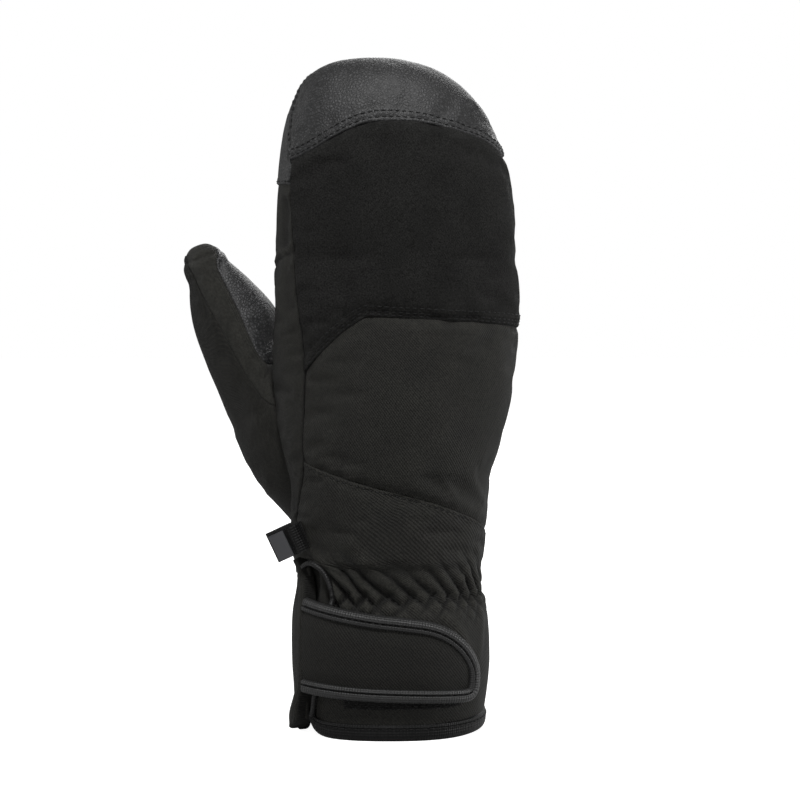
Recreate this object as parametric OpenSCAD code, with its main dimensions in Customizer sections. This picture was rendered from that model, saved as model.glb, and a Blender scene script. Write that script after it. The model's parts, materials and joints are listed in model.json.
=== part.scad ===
// Right-hand ski mitten: shell panels, membrane, padding and lining in every
// section, a peel-off wrist strap and a small hanging clip. It stands on its
// cuff hem: z = 0 is the hem, +Z the fingertips, -Y the back of the hand.

/* [Overall] */
// height from the cuff hem to the fingertips
total_h = 285; // [260:5:310]
// width across the knuckles
palm_w = 104; // [94:2:114]
// width of the closed cuff
cuff_w = 84; // [78:2:90]
// width at the gathered wrist
wrist_w = 76; // [72:1:80]
// depth of the stuffed hand, back to palm
hand_d = 62; // [56:1:68]

/* [Layers] */
// thickness of the outer shell fabric and leather
shell_t = 1; // [0.8:0.1:1.2]
// thickness of the padding
padding_t = 4; // [3:0.5:5]
// thickness of the fleece lining
lining_t = 1.2; // [0.8:0.1:1.6]
// gap between two panels at a seam
seam_gap = 0.5; // [0.3:0.1:0.8]

/* [Trim] */
// height of the wrist strap at its sewn end
strap_h = 40; // [34:1:42]
// width of the strap's folded binding tape
binding_w = 6; // [4:0.5:7]
// height of the hem binding
hem_h = 7; // [5:0.5:8]
// width of the clip's face
clip_w = 12; // [10:0.5:14]

/* [Hidden] */

// colours
LEATHER = [0.27, 0.27, 0.275];
KNIT = [0.13, 0.13, 0.13];
TWILL = [0.145, 0.14, 0.135];
SOFTSHELL = [0.165, 0.165, 0.155];
TAPE = [0.17, 0.17, 0.17];
FLEECE = [0.2, 0.2, 0.2];
WADDING = [0.85, 0.85, 0.82];
FILM = [0.75, 0.77, 0.78];
HOOKS = [0.09, 0.09, 0.09];
PLASTIC = [0.1, 0.1, 0.11];
PLASTIC_FACE = [0.22, 0.22, 0.23];

// heights
k = total_h/285;            // every height and thumb size follows the overall height
wrist_z = 64*k;             // gathered wrist, where the cuff meets the hand
knuckle_z = 165*k;          // where the mitten bends with the fingers
dome_z = 200*k;             // above this the section closes to the fingertips
wrist_cut = 0.4;            // half of the gap between two bodies at a bend

// offsets from the outer surface, inwards
ease = 0.8;                 // clearance between two layers
membrane_t = 0.4;
membrane_o = shell_t + ease;
padding_o = membrane_o + membrane_t + ease;
lining_o = padding_o + padding_t + ease;
inside_o = lining_o + lining_t;

// what stands out of the shell: [outer, inner] offsets
TAPE_O = [-0.9, -0.2];
LOOPS_O = [-0.8, -0.2];
HOOKS_O = [-1.7, -1.1];
BACKING_O = [-2.5, -2];
FACE_O = [-3.6, -2.8];
BINDING_O = [-4, -2.8];
hem_grip = 5;               // depth of the hem binding inside the outer surface

// angles round the section: 0 thumb side, 90 back of the hand, 180 little finger, 270 palm
palm_a = 200;               // seam between back panels and palm
side_a = 340;               // seam between palm and gusset
half_gap_a = 0.5*seam_gap*360/(PI*palm_w);

function mix(a, b, f) = a + (b - a)*f;
function unit(x) = min(1, max(0, x));
function smooth(x) = let (f = unit(x)) f*f*(3 - 2*f);
function signed_pow(x, e) = sign(x)*pow(abs(x), e);
function value(f, x) = is_function(f) ? f(x) : f;

// Smooth curve through stations [position, value or vector].
function slope(st, i) =
  let (a = max(i - 1, 0), b = min(i + 1, len(st) - 1))
  (st[b][1] - st[a][1])/(st[b][0] - st[a][0]);
function curve(st, x) =
  let (
    below = [for (j = [0:len(st) - 2]) if (x >= st[j][0]) j],
    i = len(below) > 0 ? below[len(below) - 1] : 0,
    h = st[i + 1][0] - st[i][0],
    f = (x - st[i][0])/h
  )
  st[i][1]*(1 + f*f*(2*f - 3)) + st[i + 1][1]*f*f*(3 - 2*f)
  + slope(st, i)*h*f*(1 - f)*(1 - f) - slope(st, i + 1)*h*f*f*(1 - f);

// ---- the mitten's outer surface ----

// height, then [half width, middle x, back depth, palm depth]
SECTIONS = [
  [0, [0.475*cuff_w, -0.8, 0.54*hand_d, 0.54*hand_d]],
  [30*k, [0.5*cuff_w, -0.3, 0.57*hand_d, 0.56*hand_d]],
  [50*k, [0.495*cuff_w, -0.4, 0.55*hand_d, 0.54*hand_d]],
  [wrist_z, [0.5*wrist_w, 0.3, 0.48*hand_d, 0.46*hand_d]],
  [84*k, [0.525*wrist_w, 0, 0.5*hand_d, 0.47*hand_d]],
  [106*k, [0.415*palm_w, -0.8, 0.54*hand_d, 0.49*hand_d]],
  [126*k, [0.465*palm_w, -0.5, 0.56*hand_d, 0.48*hand_d]],
  [146*k, [0.49*palm_w, 1, 0.55*hand_d, 0.46*hand_d]],
  [180*k, [0.5*palm_w, 2.1, 0.53*hand_d, 0.43*hand_d]],
  [dome_z, [0.492*palm_w, 1.9, 0.51*hand_d, 0.41*hand_d]]
];
section_e = 2/2.3;          // squareness of a section
dome_lean = 9.5;            // fingertips lean this far to the thumb side

// Point on the mitten at angle t and height z, off millimetres inside it.
function skin(t, z, off = 0) =
  let (
    s = curve(SECTIONS, min(z, dome_z)),
    f = unit((z - dome_z)/(total_h - dome_z)),
    wide = pow(1 - pow(f, 2.6), 1/2.6),
    deep = pow(1 - pow(f, 2.2), 1/2.2),
    depth = (sin(t) > 0 ? s[2] : s[3]) - off
  )
  [
    s[1] - dome_lean*pow(f, 2.5) - (s[0] - off)*wide*signed_pow(cos(t), section_e),
    -depth*deep*signed_pow(sin(t), section_e),
    z - off*f
  ];

// Padding and lining thin out to the hem.
function taper(z) = mix(0.4, 1, smooth(z/(30*k)));

// ---- the thumb's outer surface ----

thumb_a = -13;              // middle of the thumb's base, round the hand
thumb_span = 30;            // half of its angle
thumb_z = 119*k;            // its middle height
thumb_half = 36*k;          // half of its height
// [centre, half width, its direction in x and z, half depth]
THUMB = [
  [[-56.5, 11, 132.5]*k, 25.5*k, 82, 19*k],
  [[-62, 12, 149.5]*k, 19*k, 63, 17.5*k],
  [[-68.2, 13, 175]*k, 16.8*k, 31, 14.5*k],
  [[-77.3, 14, 194]*k, 11.8*k, 25, 11*k],
  [[-80.2, 14.5, 201.5]*k, 8.5*k, 20, 8*k],
  [[-82, 15, 207]*k, 0, 20, 0]
];
tip_v = 0.86;               // above this one piece closes the thumb's tip
thumb_lining_o = padding_o + 0.75*padding_t + ease;   // the thumb's padding is thinner

// Ring n of the thumb at angle s: 0 outer side, 90 back, 180 hand side, 270 palm.
function thumb_ring(n, s, off) =
  n == 0
  ? skin(thumb_a + (thumb_span - off)*sin(s), thumb_z - (thumb_half - off)*cos(s), -ease)
  : let (
      r = THUMB[n - 1],
      half = max(0, r[1] - off)*signed_pow(cos(s), 0.9),
      deep = max(0, r[3] - off)*signed_pow(sin(s), 0.9),
      lift = r[1] == 0 ? off : 0
    )
    r[0] - [half*cos(r[2]), deep, half*sin(r[2]) + lift];
function thumb_skin(s, v, off = 0) =
  curve([for (n = [0:len(THUMB)]) [n/len(THUMB), thumb_ring(n, s, off)]], v);

// How wide the hand's opening for the thumb is at height z, from 0 to 1.
function thumb_hole(z) =
  let (f = (z - thumb_z)/(thumb_half - 2))
  sqrt(max(0, 1 - f*f));

// ---- sheets ----

// Closed sheet between P(u, v, 0) outside and P(u, v, 1) inside, u and v from 0 to 1.
// wrap joins u = 1 to u = 0, pole closes v = 1 to a point, keep(i, j) picks the cells.
module sheet(P, nu, nv, wrap = false, pole = false, keep = function (i, j) true) {
  cols = wrap ? nu : nu + 1;
  rows = pole ? nv : nv + 1;
  function id(i, j, s) =
    pole && j == nv ? 2*cols*rows + s : (s*rows + j)*cols + (wrap ? i % nu : i);
  function solid(i, j) = j >= 0 && j < nv && (wrap || (i >= 0 && i < nu)) && keep((i + nu) % nu, j);
  function quad(a, b, c, d) = c == d ? [[a, c, b]] : a == b ? [[a, d, c]] : [[a, c, b], [a, d, c]];
  points = [
    for (s = [0, 1]) for (j = [0:rows - 1]) for (i = [0:cols - 1]) P(i/nu, j/nv, s),
    if (pole) P(0, 1, 0),
    if (pole) P(0, 1, 1)
  ];
  faces = [
    for (j = [0:nv - 1]) for (i = [0:nu - 1]) if (solid(i, j)) each concat(
      quad(id(i, j, 0), id(i + 1, j, 0), id(i + 1, j + 1, 0), id(i, j + 1, 0)),
      quad(id(i, j + 1, 1), id(i + 1, j + 1, 1), id(i + 1, j, 1), id(i, j, 1)),
      solid(i - 1, j) ? [] : quad(id(i, j, 1), id(i, j, 0), id(i, j + 1, 0), id(i, j + 1, 1)),
      solid(i + 1, j) ? [] : quad(id(i + 1, j, 0), id(i + 1, j, 1), id(i + 1, j + 1, 1), id(i + 1, j + 1, 0)),
      solid(i, j - 1) ? [] : quad(id(i + 1, j, 0), id(i, j, 0), id(i, j, 1), id(i + 1, j, 1)),
      solid(i, j + 1) || (pole && j == nv - 1)
        ? [] : quad(id(i, j + 1, 0), id(i + 1, j + 1, 0), id(i + 1, j + 1, 1), id(i, j + 1, 1))
    )
  ];
  polyhedron(points, faces, convexity = 6);
}

// [angle, height] at (u, v) of a panel between angles ta and tb (numbers, or functions of
// height) and heights za and zb (numbers, or functions of angle): each edge bends the other.
function panel_at(ta, tb, za, zb, u, v, t, steps = 6) =
  let (
    z = mix(value(za, t) + seam_gap/2, value(zb, t) - seam_gap/2, v),
    t_new = mix(value(ta, z) + half_gap_a, value(tb, z) - half_gap_a, u)
  )
  steps == 0 ? [t_new, z] : panel_at(ta, tb, za, zb, u, v, t_new, steps - 1);
// Panel of the mitten's skin between two offsets.
module panel(ta, tb, za, zb, outer = 0, inner = shell_t, nu = 10, nv = 8) {
  start = mix(value(ta, knuckle_z), value(tb, knuckle_z), 0.5);
  sheet(function (u, v, s)
    let (p = panel_at(ta, tb, za, zb, u, v, start))
    skin(p[0], p[1], s == 0 ? outer : inner), nu, nv);
}

// Panel of the thumb between seams sa and sb (functions of v), up to the tip's closing piece.
module thumb_panel(sa, sb) {
  gap_a = 1;
  sheet(function (u, v, s)
    let (w = v*(tip_v - 0.008))
    thumb_skin(mix(sa(w) + gap_a, sb(w) - gap_a, u), w, s*shell_t), 8, 12);
}

// Full ring of the mitten between two heights, with an optional opening for the thumb.
module ring(za, zb, outer, inner, opening = false, pole = false, nu = 32, nv = 6) {
  open_a = 24;
  open_z = 26*k;
  sheet(function (u, v, s)
    let (
      top = pole ? pow(sin(90*v), 2) : v,
      z = mix(za, zb, top),
      t = thumb_a + 360*u,
      off = membrane_o + (mix(outer, inner, s) - membrane_o)*(za < wrist_z/2 ? taper(z) : 1)
    )
    skin(t, z, off), nu, nv, true, pole,
    function (i, j)
      let (
        t = 360*(i + 0.5)/nu,
        z = mix(za, zb, (j + 0.5)/nv)
      )
      !opening || min(t, 360 - t) > open_a || abs(z - thumb_z) > open_z);
}

// Closed tube of the thumb between two offsets.
module thumb_tube(outer, inner) {
  start_v = 0.12;
  sheet(function (u, v, s) thumb_skin(360*u, mix(start_v, 1, v), mix(outer, inner, s)), 20, 11, true, true);
}

// Tape laid along a path of [angle, height], width towards one side given by inward(u).
module tape(path, inward, n)
  sheet(function (u, v, s)
    let (p = path(u) + inward(u)*v)
    skin(p[0], p[1], TAPE_O[s]), n, 1);

// ---- seam lines ----

// front seam of the thumb-side gusset, as an angle for each height
function gusset_edge(z) =
  curve([[60*k, 57], [70*k, 50], [78*k, 27], [88*k, 20], [115*k, 40], [154*k, 46], [190*k, 38], [230*k, 31.5],
         [total_h, 31]], z);
// seam between middle and lower panel
function diagonal(t) = k*mix(115.3, 83.2, (t - 41)/139);
// chevron seam between upper and middle panel, with a rounded knee
function chevron(t) =
  k*(t < 80 ? 177.6 - 23.6*pow((80 - t)/34, 1.15) : 177.6 - 5.8*(t - 80)/100);
// lower edge of the leather over the fingertips
function cap_seam(t) =
  let (a = t % 360)
  k*curve([[0, 263], [31, 242], [80, 257], [100, 258], [140, 252], [180, 244], [210, 250],
           [270, 266], [330, 268], [360, 263]], a);
// thumb side of the hand's panels, round the thumb's opening
function thumb_front(z) = mix(side_a - 360, thumb_a + thumb_span - 2, thumb_hole(z));
function thumb_palm(z) = mix(side_a, thumb_a + 360 - thumb_span + 2, thumb_hole(z));
// seams on the thumb, from its base (v = 0) to its tip
function outer_seam(v) = mix(95, 28, smooth(v));
function patch_seam(v) = mix(132, 106, smooth(1.6*v));
function inner_seam(v) = 215;
function under_seam(v) = 325 - 360;

// ---- cuff ----

slit_a = 29;                // bound front edge of the palm side, at the cuff slit
cuff_edge_a = 54;           // bound edge of the back of the cuff
cuff_top = wrist_z - wrist_cut;
edge_tape_a = 5;            // width of the tape on the two edges of the slit, as an angle

module cuff_back_panel() color(TWILL)
  panel(cuff_edge_a, palm_a, hem_h, cuff_top, nu = 14, nv = 5);

module cuff_palm_panel() color(SOFTSHELL)
  panel(palm_a, 360 + slit_a, hem_h, cuff_top, nu = 18, nv = 5);

// folded bellows that lets the cuff open
module cuff_gusset() color(SOFTSHELL) {
  folds = 3;
  fold_d = 0.3;
  fabric_t = 0.4;
  tuck_a = 8;               // how far it reaches behind the bound edges
  sheet(function (u, v, s)
    let (wave = fold_d*0.5*(1 + cos(360*folds*u)))
    skin(mix(slit_a - tuck_a, cuff_edge_a + tuck_a, u), mix(hem_h + seam_gap, cuff_top, v),
         shell_t + 0.35 + wave + fabric_t*s), 18, 6);
}

module cuff_edge_binding() color(TAPE)
  tape(function (u) [cuff_edge_a + mix(-2, 3, u), mix(hem_h + 1, cuff_top - 0.5, u)],
       function (u) [edge_tape_a, 0], 10);

module slit_binding() color(TAPE)
  tape(function (u) [slit_a + 1, mix(hem_h + 1, cuff_top - 0.5, u)],
       function (u) [edge_tape_a, 0], 10);

module hem_binding() color(TAPE) {
  n = 72;
  linear_extrude(hem_h) difference() {
    polygon([for (i = [0:n - 1]) let (p = skin(360*i/n, hem_h/2, TAPE_O[0])) [p[0], p[1]]]);
    polygon([for (i = [0:n - 1]) let (p = skin(360*i/n, hem_h/2, hem_grip)) [p[0], p[1]]]);
  }
}

module loop_patch() color(HOOKS)
  panel(66, 134, 14*k, 38*k, LOOPS_O[0], LOOPS_O[1], 9, 3);

module cuff_padding() color(WADDING)
  ring(hem_h + 1, cuff_top, padding_o, padding_o + padding_t);

module cuff_lining() color(FLEECE)
  ring(hem_h + 1, cuff_top, lining_o, inside_o);

module size_label() color([0.9, 0.9, 0.88])
  panel(255, 285, 34*k, 56*k, inside_o + 0.9, inside_o + 1.3, 4, 2);

// ---- strap ----

strap_a = 38.5;             // sewn end
strap_end_a = 144.5;        // free end
strap_low = 19*k;           // lower edge at the sewn end
strap_drop = [12, 4];       // fall of its upper and lower edge from the sewn end to the tip
strap_round = [26, 7];      // height of the tip's rounding above and below
strap_round_a = [108, 133.5];   // where each rounding starts

// 1 - cos of a quarter turn from the rounding's start to the strap's tip
function strap_turn(t, i) =
  let (r = unit((t - strap_round_a[i])/(strap_end_a - strap_round_a[i])))
  1 - sqrt(1 - r*r);
function strap_fall(t, i) = strap_drop[i]*(t - strap_a)/(strap_end_a - strap_a);
function strap_top(t) = strap_low + strap_h - strap_fall(t, 0) - strap_round[0]*strap_turn(t, 0);
function strap_bottom(t) = strap_low - strap_fall(t, 1) + strap_round[1]*strap_turn(t, 1);
// angle round the cuff that d millimetres along the strap take, nearly
function deg(d) = d*1.4;
// Outline point of the strap at u round it, inset by d: up the sewn end, over, round the tip, back.
function strap_point(u, d) =
  let (a = strap_a + deg(d), b = strap_end_a - deg(d))
  u < 0.12 ? [a, mix(strap_bottom(a) + d, strap_top(a) - d, u/0.12)]
  : u < 0.56 ? let (t = mix(a, b, sin(90*(u - 0.12)/0.44))) [t, strap_top(t) - d]
  : let (t = mix(a, b, cos(90*(u - 0.56)/0.44))) [t, strap_bottom(t) + d];

module strap_layer(d, layer)
  sheet(function (u, v, s)
    let (
      t = mix(strap_a + deg(d), strap_end_a - deg(d), sin(90*u)),
      z = mix(strap_bottom(t) + d, max(strap_bottom(t) + d + 0.5, strap_top(t) - d), v)
    )
    skin(t, z, layer[s]), 20, 3);

module strap_face() color(TWILL)
  strap_layer(binding_w + 1, FACE_O);

module strap_backing() color(TWILL)
  strap_layer(1, BACKING_O);

module strap_binding() color(TAPE)
  sheet(function (u, v, s)
    let (p = strap_point(u, v*binding_w))
    skin(p[0], p[1], BINDING_O[s]), 48, 2, true);

module hook_patch() color(HOOKS) {
  inset = 9;
  strap_a_hook = 106;
  sheet(function (u, v, s)
    let (t = mix(strap_a_hook, strap_end_a - deg(inset), u))
    skin(t, mix(strap_bottom(t) + inset, strap_top(t) - inset, v), HOOKS_O[s]), 5, 2);
}

// ---- hand ----

hand_low = wrist_z + wrist_cut;
hand_top = knuckle_z - wrist_cut;
palm_low = 81*k;            // lower edge of the palm and of the gusset above the slit
gusset_edge_f = function (z) gusset_edge(z);
arch_tape_w = 3.2;

module middle_panel() color(TWILL)
  panel(gusset_edge_f, palm_a, function (t) diagonal(t), function (t) chevron(t), nu = 14, nv = 8);

module lower_panel() color(TWILL)
  panel(gusset_edge_f, palm_a, hand_low, function (t) diagonal(t), nu = 14, nv = 14);

module palm_panel() color(LEATHER)
  panel(palm_a, function (z) thumb_palm(z), palm_low, hand_top, nu = 12, nv = 11);

// gathered fabric between the palm and the cuff
module palm_gather() color(SOFTSHELL)
  panel(palm_a, side_a, hand_low, palm_low, nu = 12, nv = 3);

// gusset between the back panels and the thumb
module gusset_lower() color(SOFTSHELL)
  panel(function (z) thumb_front(z), gusset_edge_f, palm_low, hand_top, nu = 8, nv = 18);

// recessed fabric under the arch of the slit
module gusset_pleat() color(SOFTSHELL)
  panel(side_a - 360, function (z) gusset_edge(z) - 2, hand_low, palm_low, nu = 8, nv = 8);

// tape over the arch that closes the slit
module arch_binding() color(TAPE)
  tape(function (u) [mix(20, 57, u), hand_low + 1 + 10*k*sin(mix(45, 180, u))],
       function (u) [0, arch_tape_w], 12);

module wrist_elastic() color(TAPE)
  ring(hand_low + 1, hand_low + 9, padding_o - 0.1, padding_o + 1, nv = 1);

module hand_membrane() color(FILM)
  ring(hand_low, hand_top, membrane_o, membrane_o + membrane_t, true, nv = 11);

module hand_padding() color(WADDING)
  ring(hand_low + 10, hand_top, padding_o, padding_o + padding_t, true, nv = 10);

module hand_lining() color(FLEECE)
  ring(hand_low, hand_top, lining_o, inside_o, true, nv = 10);

// ---- fingers ----

finger_low = knuckle_z + wrist_cut;

module upper_panel() color(KNIT)
  panel(gusset_edge_f, palm_a, function (t) chevron(t), function (t) cap_seam(t), nu = 14, nv = 9);

module finger_palm_panel() color(LEATHER)
  panel(palm_a, side_a, finger_low, function (t) cap_seam(t), nu = 12, nv = 9);

module gusset_upper() color(SOFTSHELL)
  panel(side_a - 360, gusset_edge_f, finger_low, 232*k, nu = 6, nv = 6);

module gusset_tip() color(LEATHER)
  panel(side_a - 360, gusset_edge_f, 232*k, function (t) cap_seam(t + 360), nu = 6, nv = 4);

module tip_cap() color(LEATHER)
  sheet(function (u, v, s)
    let (
      t = 360*u,
      low = cap_seam(t) + seam_gap/2
    )
    skin(t, mix(low, total_h, pow(sin(90*v), 1.4)), s*shell_t), 36, 7, true, true);

module finger_membrane() color(FILM)
  ring(finger_low, total_h, membrane_o, membrane_o + membrane_t, pole = true, nv = 8);

module finger_padding() color(WADDING)
  ring(finger_low, total_h, padding_o, padding_o + padding_t, pole = true, nv = 8);

module finger_lining() color(FLEECE)
  ring(finger_low, total_h, lining_o, inside_o, pole = true, nv = 8);

// ---- thumb ----

module thumb_outer_panel() color(SOFTSHELL)
  thumb_panel(function (v) under_seam(v), function (v) outer_seam(v));

module thumb_leather_patch() color(LEATHER)
  thumb_panel(function (v) patch_seam(v), function (v) inner_seam(v));

module thumb_palm_panel() color(LEATHER)
  thumb_panel(function (v) inner_seam(v), function (v) under_seam(v) + 360);

// strip from the base to the tip, where it closes the thumb
module thumb_strip() color(SOFTSHELL) {
  rows = 12;
  strip_cols = 4;
  rest_cols = 14;
  tip_rows = 2;
  body_rows = rows - tip_rows;
  cols = strip_cols + rest_cols;
  sheet(function (u, v, s)
    let (
      j = v*rows,
      w = j < body_rows ? tip_v*j/body_rows : mix(tip_v, 1, (j - body_rows)/tip_rows),
      i = u*cols,
      a = outer_seam(w) + 1,
      b = patch_seam(w) - 1,
      angle = i <= strip_cols ? mix(a, b, i/strip_cols) : mix(b, a + 360, (i - strip_cols)/rest_cols)
    )
    thumb_skin(angle, w, s*shell_t), cols, rows, true, true,
    function (i, j) i < strip_cols || j >= body_rows);
}

module thumb_membrane() color(FILM)
  thumb_tube(membrane_o, membrane_o + membrane_t);

module thumb_padding() color(WADDING)
  thumb_tube(padding_o, thumb_lining_o - ease);

module thumb_lining() color(FLEECE)
  thumb_tube(thumb_lining_o, thumb_lining_o + lining_t);

// ---- clip ----

clip_h = 0.6*clip_w;        // length of the face, away from the webbing
clip_t = 1.6;               // thickness of the frame
clip_tilt = -25;            // how the clip hangs
clip_slot = 1.8;            // slot for the webbing
clip_bar = 1.8;             // bar the webbing goes round
clip_rim = 0.6;             // border of the frame round the face
clip_reach = clip_bar/2 + clip_slot + clip_h;
clip_at = [-39.9, -21.9, 83.4*k];

// Clip's own axes: its bar on the z axis, the face towards -x, its front towards -y.
module clip_place() translate(clip_at) rotate([0, clip_tilt, 0]) children();

// Block from x0 to x1 away from the bar, y0 to y1 deep and h high.
module clip_block(x0, x1, y0, y1, h)
  translate([-x1, y0, -h/2]) cube([x1 - x0, y1 - y0, h]);

// frame with a slot for the webbing and a hook leg behind
module clip_frame() color(PLASTIC) clip_place() {
  hook_h = clip_w - 4;
  hook_x = clip_slot + clip_bar/2 + clip_rim;
  hook_d = 3*clip_t;
  difference() {
    union() {
      translate([0, 0, clip_rim])
        clip_block(-clip_bar/2, clip_reach + clip_rim, -clip_t/2, clip_t/2, clip_w + 2*clip_rim);
      clip_block(hook_x, hook_x + clip_t, 0, hook_d, hook_h);
      clip_block(hook_x, clip_reach, hook_d - clip_t, hook_d, hook_h);
    }
    clip_block(clip_bar/2, clip_bar/2 + clip_slot, -clip_t, clip_t, clip_w - clip_rim);
  }
}

module clip_plate() color(PLASTIC_FACE) clip_place() {
  plate_t = 1.1;
  gap = 0.05;               // to the frame
  clip_block(clip_bar/2 + clip_slot + clip_rim, clip_reach, -clip_t/2 - gap - plate_t, -clip_t/2 - gap,
             clip_w - clip_rim);
}

// webbing loop sewn to the gusset, round the clip's bar
module clip_loop() color(TAPE) clip_place() {
  loop_h = clip_w - 2;
  webbing_t = 0.9;
  inner_r = clip_t/2 + 0.5; // slack round the bar
  outer_r = inner_r + webbing_t;
  tail = 5;                 // to the seam it is sewn into
  difference() {
    union() {
      cylinder(r = outer_r, h = loop_h, center = true, $fn = 48);
      translate([0, -outer_r, -loop_h/2]) cube([tail, 2*outer_r, loop_h]);
    }
    cylinder(r = inner_r, h = loop_h + 1, center = true, $fn = 48);
    translate([0, -inner_r, -loop_h/2 - 0.5]) cube([tail - 1, 2*inner_r, loop_h + 1]);
  }
}

cuff_back_panel();
cuff_palm_panel();
cuff_gusset();
cuff_edge_binding();
slit_binding();
hem_binding();
loop_patch();
cuff_padding();
cuff_lining();
size_label();
strap_face();
strap_backing();
strap_binding();
hook_patch();
middle_panel();
lower_panel();
palm_panel();
palm_gather();
gusset_lower();
gusset_pleat();
arch_binding();
wrist_elastic();
hand_membrane();
hand_padding();
hand_lining();
clip_loop();
tip_cap();
upper_panel();
finger_palm_panel();
gusset_upper();
gusset_tip();
finger_membrane();
finger_padding();
finger_lining();
thumb_outer_panel();
thumb_strip();
thumb_leather_patch();
thumb_palm_panel();
thumb_membrane();
thumb_padding();
thumb_lining();
clip_frame();
clip_plate();
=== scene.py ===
"""Right-hand ski mitten: the look, built over the CAD frame.

Lengths inside the functions are millimetres of the design; MM turns them into the frame's metres.
"""

import json
import math

import bpy
import numpy as np
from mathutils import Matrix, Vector

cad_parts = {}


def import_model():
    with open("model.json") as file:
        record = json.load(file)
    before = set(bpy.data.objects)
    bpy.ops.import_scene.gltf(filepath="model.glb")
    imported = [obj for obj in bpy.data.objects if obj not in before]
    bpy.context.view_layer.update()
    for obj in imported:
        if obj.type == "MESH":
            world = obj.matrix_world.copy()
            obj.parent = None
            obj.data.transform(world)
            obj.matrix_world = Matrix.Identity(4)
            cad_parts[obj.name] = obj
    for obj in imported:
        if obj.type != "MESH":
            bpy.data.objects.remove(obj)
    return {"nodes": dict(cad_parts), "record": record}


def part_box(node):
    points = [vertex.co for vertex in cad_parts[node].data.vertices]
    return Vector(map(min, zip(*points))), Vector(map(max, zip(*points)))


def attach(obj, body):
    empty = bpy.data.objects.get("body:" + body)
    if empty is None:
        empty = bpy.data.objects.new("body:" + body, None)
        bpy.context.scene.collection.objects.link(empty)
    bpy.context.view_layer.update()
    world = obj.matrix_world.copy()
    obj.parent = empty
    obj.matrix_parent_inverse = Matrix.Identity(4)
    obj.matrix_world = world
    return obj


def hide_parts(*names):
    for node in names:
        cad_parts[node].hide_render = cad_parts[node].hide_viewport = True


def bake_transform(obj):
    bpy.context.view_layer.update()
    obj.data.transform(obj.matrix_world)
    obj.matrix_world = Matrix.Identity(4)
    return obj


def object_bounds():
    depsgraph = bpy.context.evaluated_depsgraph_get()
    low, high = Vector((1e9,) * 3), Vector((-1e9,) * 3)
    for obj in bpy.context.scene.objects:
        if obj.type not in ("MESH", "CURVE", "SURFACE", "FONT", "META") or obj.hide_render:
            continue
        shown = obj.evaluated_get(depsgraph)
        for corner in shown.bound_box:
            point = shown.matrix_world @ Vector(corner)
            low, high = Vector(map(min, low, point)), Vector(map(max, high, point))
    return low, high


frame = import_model()
size_before = [list(corner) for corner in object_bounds()]

# ---- driving dimensions, from the frame ----

MM = 0.001


def span(axis, *nodes):
    """Width of some CAD nodes together along one axis, in millimetres."""
    boxes = [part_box(n) for n in nodes]
    return (max(b[1][axis] for b in boxes) - min(b[0][axis] for b in boxes)) / MM


TOTAL_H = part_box("tip_cap")[1].z / MM
K = TOTAL_H / 285  # every height follows the overall height
PALM_W = span(0, "upper_panel", "finger_palm_panel", "gusset_upper", "middle_panel")
CUFF_W = span(0, "cuff_back_panel", "cuff_palm_panel")
WRIST_W = 0.905 * CUFF_W
HAND_D = span(1, "middle_panel", "palm_panel") / 1.05
HEM_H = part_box("hem_binding")[1].z / MM
WRIST_Z = 64 * K
KNUCKLE_Z = 165 * K
DOME_Z = 200 * K
PALM_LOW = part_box("palm_panel")[0].z / MM
BODY_WIDTH = (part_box("upper_panel")[1].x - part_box("thumb_strip")[0].x) / MM

# ---- small functions ----


def new_object(name, data):
    ob = bpy.data.objects.new(name, data)
    bpy.context.scene.collection.objects.link(ob)
    return ob


def mix(a, b, f):
    return a + (b - a) * f


def together(a, b):
    """Two numbers or arrays as arrays of one shape."""
    return np.broadcast_arrays(np.asarray(a, float), np.asarray(b, float))


def smooth(x):
    x = np.clip(x, 0, 1)
    return x * x * (3 - 2 * x)


def signed_pow(x, e):
    return np.sign(x) * np.abs(x) ** e


def sin_deg(a):
    return np.sin(np.radians(a))


def cos_deg(a):
    return np.cos(np.radians(a))


def length(v):
    return np.linalg.norm(v, axis=-1)


def bell(x, width):
    return np.exp(-((x / width) ** 2))


def hermite(a, b, slope_a, slope_b, f):
    """Cubic from a to b with a slope at each end, as f goes from 0 to 1."""
    ends = a * (1 + f * f * (2 * f - 3)) + b * f * f * (3 - 2 * f)
    return ends + (slope_a * f * (1 - f) ** 2 - slope_b * f * f * (1 - f))


def curve(stations, x):
    """Smooth curve through (position, value or vector) stations."""
    at = np.array([s[0] for s in stations], float)
    value = np.array([s[1] for s in stations], float)
    flat = value.ndim == 1
    value = value.reshape(len(at), -1)
    after = np.minimum(np.arange(len(at)) + 1, len(at) - 1)
    before = np.maximum(np.arange(len(at)) - 1, 0)
    slope = (value[after] - value[before]) / (at[after] - at[before])[:, None]
    x = np.asarray(x, float)
    i = np.clip(np.searchsorted(at, x, side="right") - 1, 0, len(at) - 2)
    step = (at[i + 1] - at[i])[..., None]
    f = (x - at[i])[..., None] / step
    y = hermite(value[i], value[i + 1], slope[i] * step, slope[i + 1] * step, f)
    return y[..., 0] if flat else y


def lattice(ix, iy, seed):
    n = np.sin(ix * 127.1 + iy * 311.7 + seed * 74.7) * 43758.5453
    return n - np.floor(n)


def noise(x, y, seed=0):
    """Smooth value noise from -1 to 1."""
    x, y = together(x, y)
    ix, iy = np.floor(x), np.floor(y)
    fx, fy = smooth(x - ix), smooth(y - iy)
    low = mix(lattice(ix, iy, seed), lattice(ix + 1, iy, seed), fx)
    high = mix(lattice(ix, iy + 1, seed), lattice(ix + 1, iy + 1, seed), fx)
    return 2 * mix(low, high, fy) - 1


# ---- the mitten's surface, as in the CAD: t is the angle round it, z the height ----
# t = 0 is the thumb side, 90 the back of the hand, 180 the little finger, 270 the palm.

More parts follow.
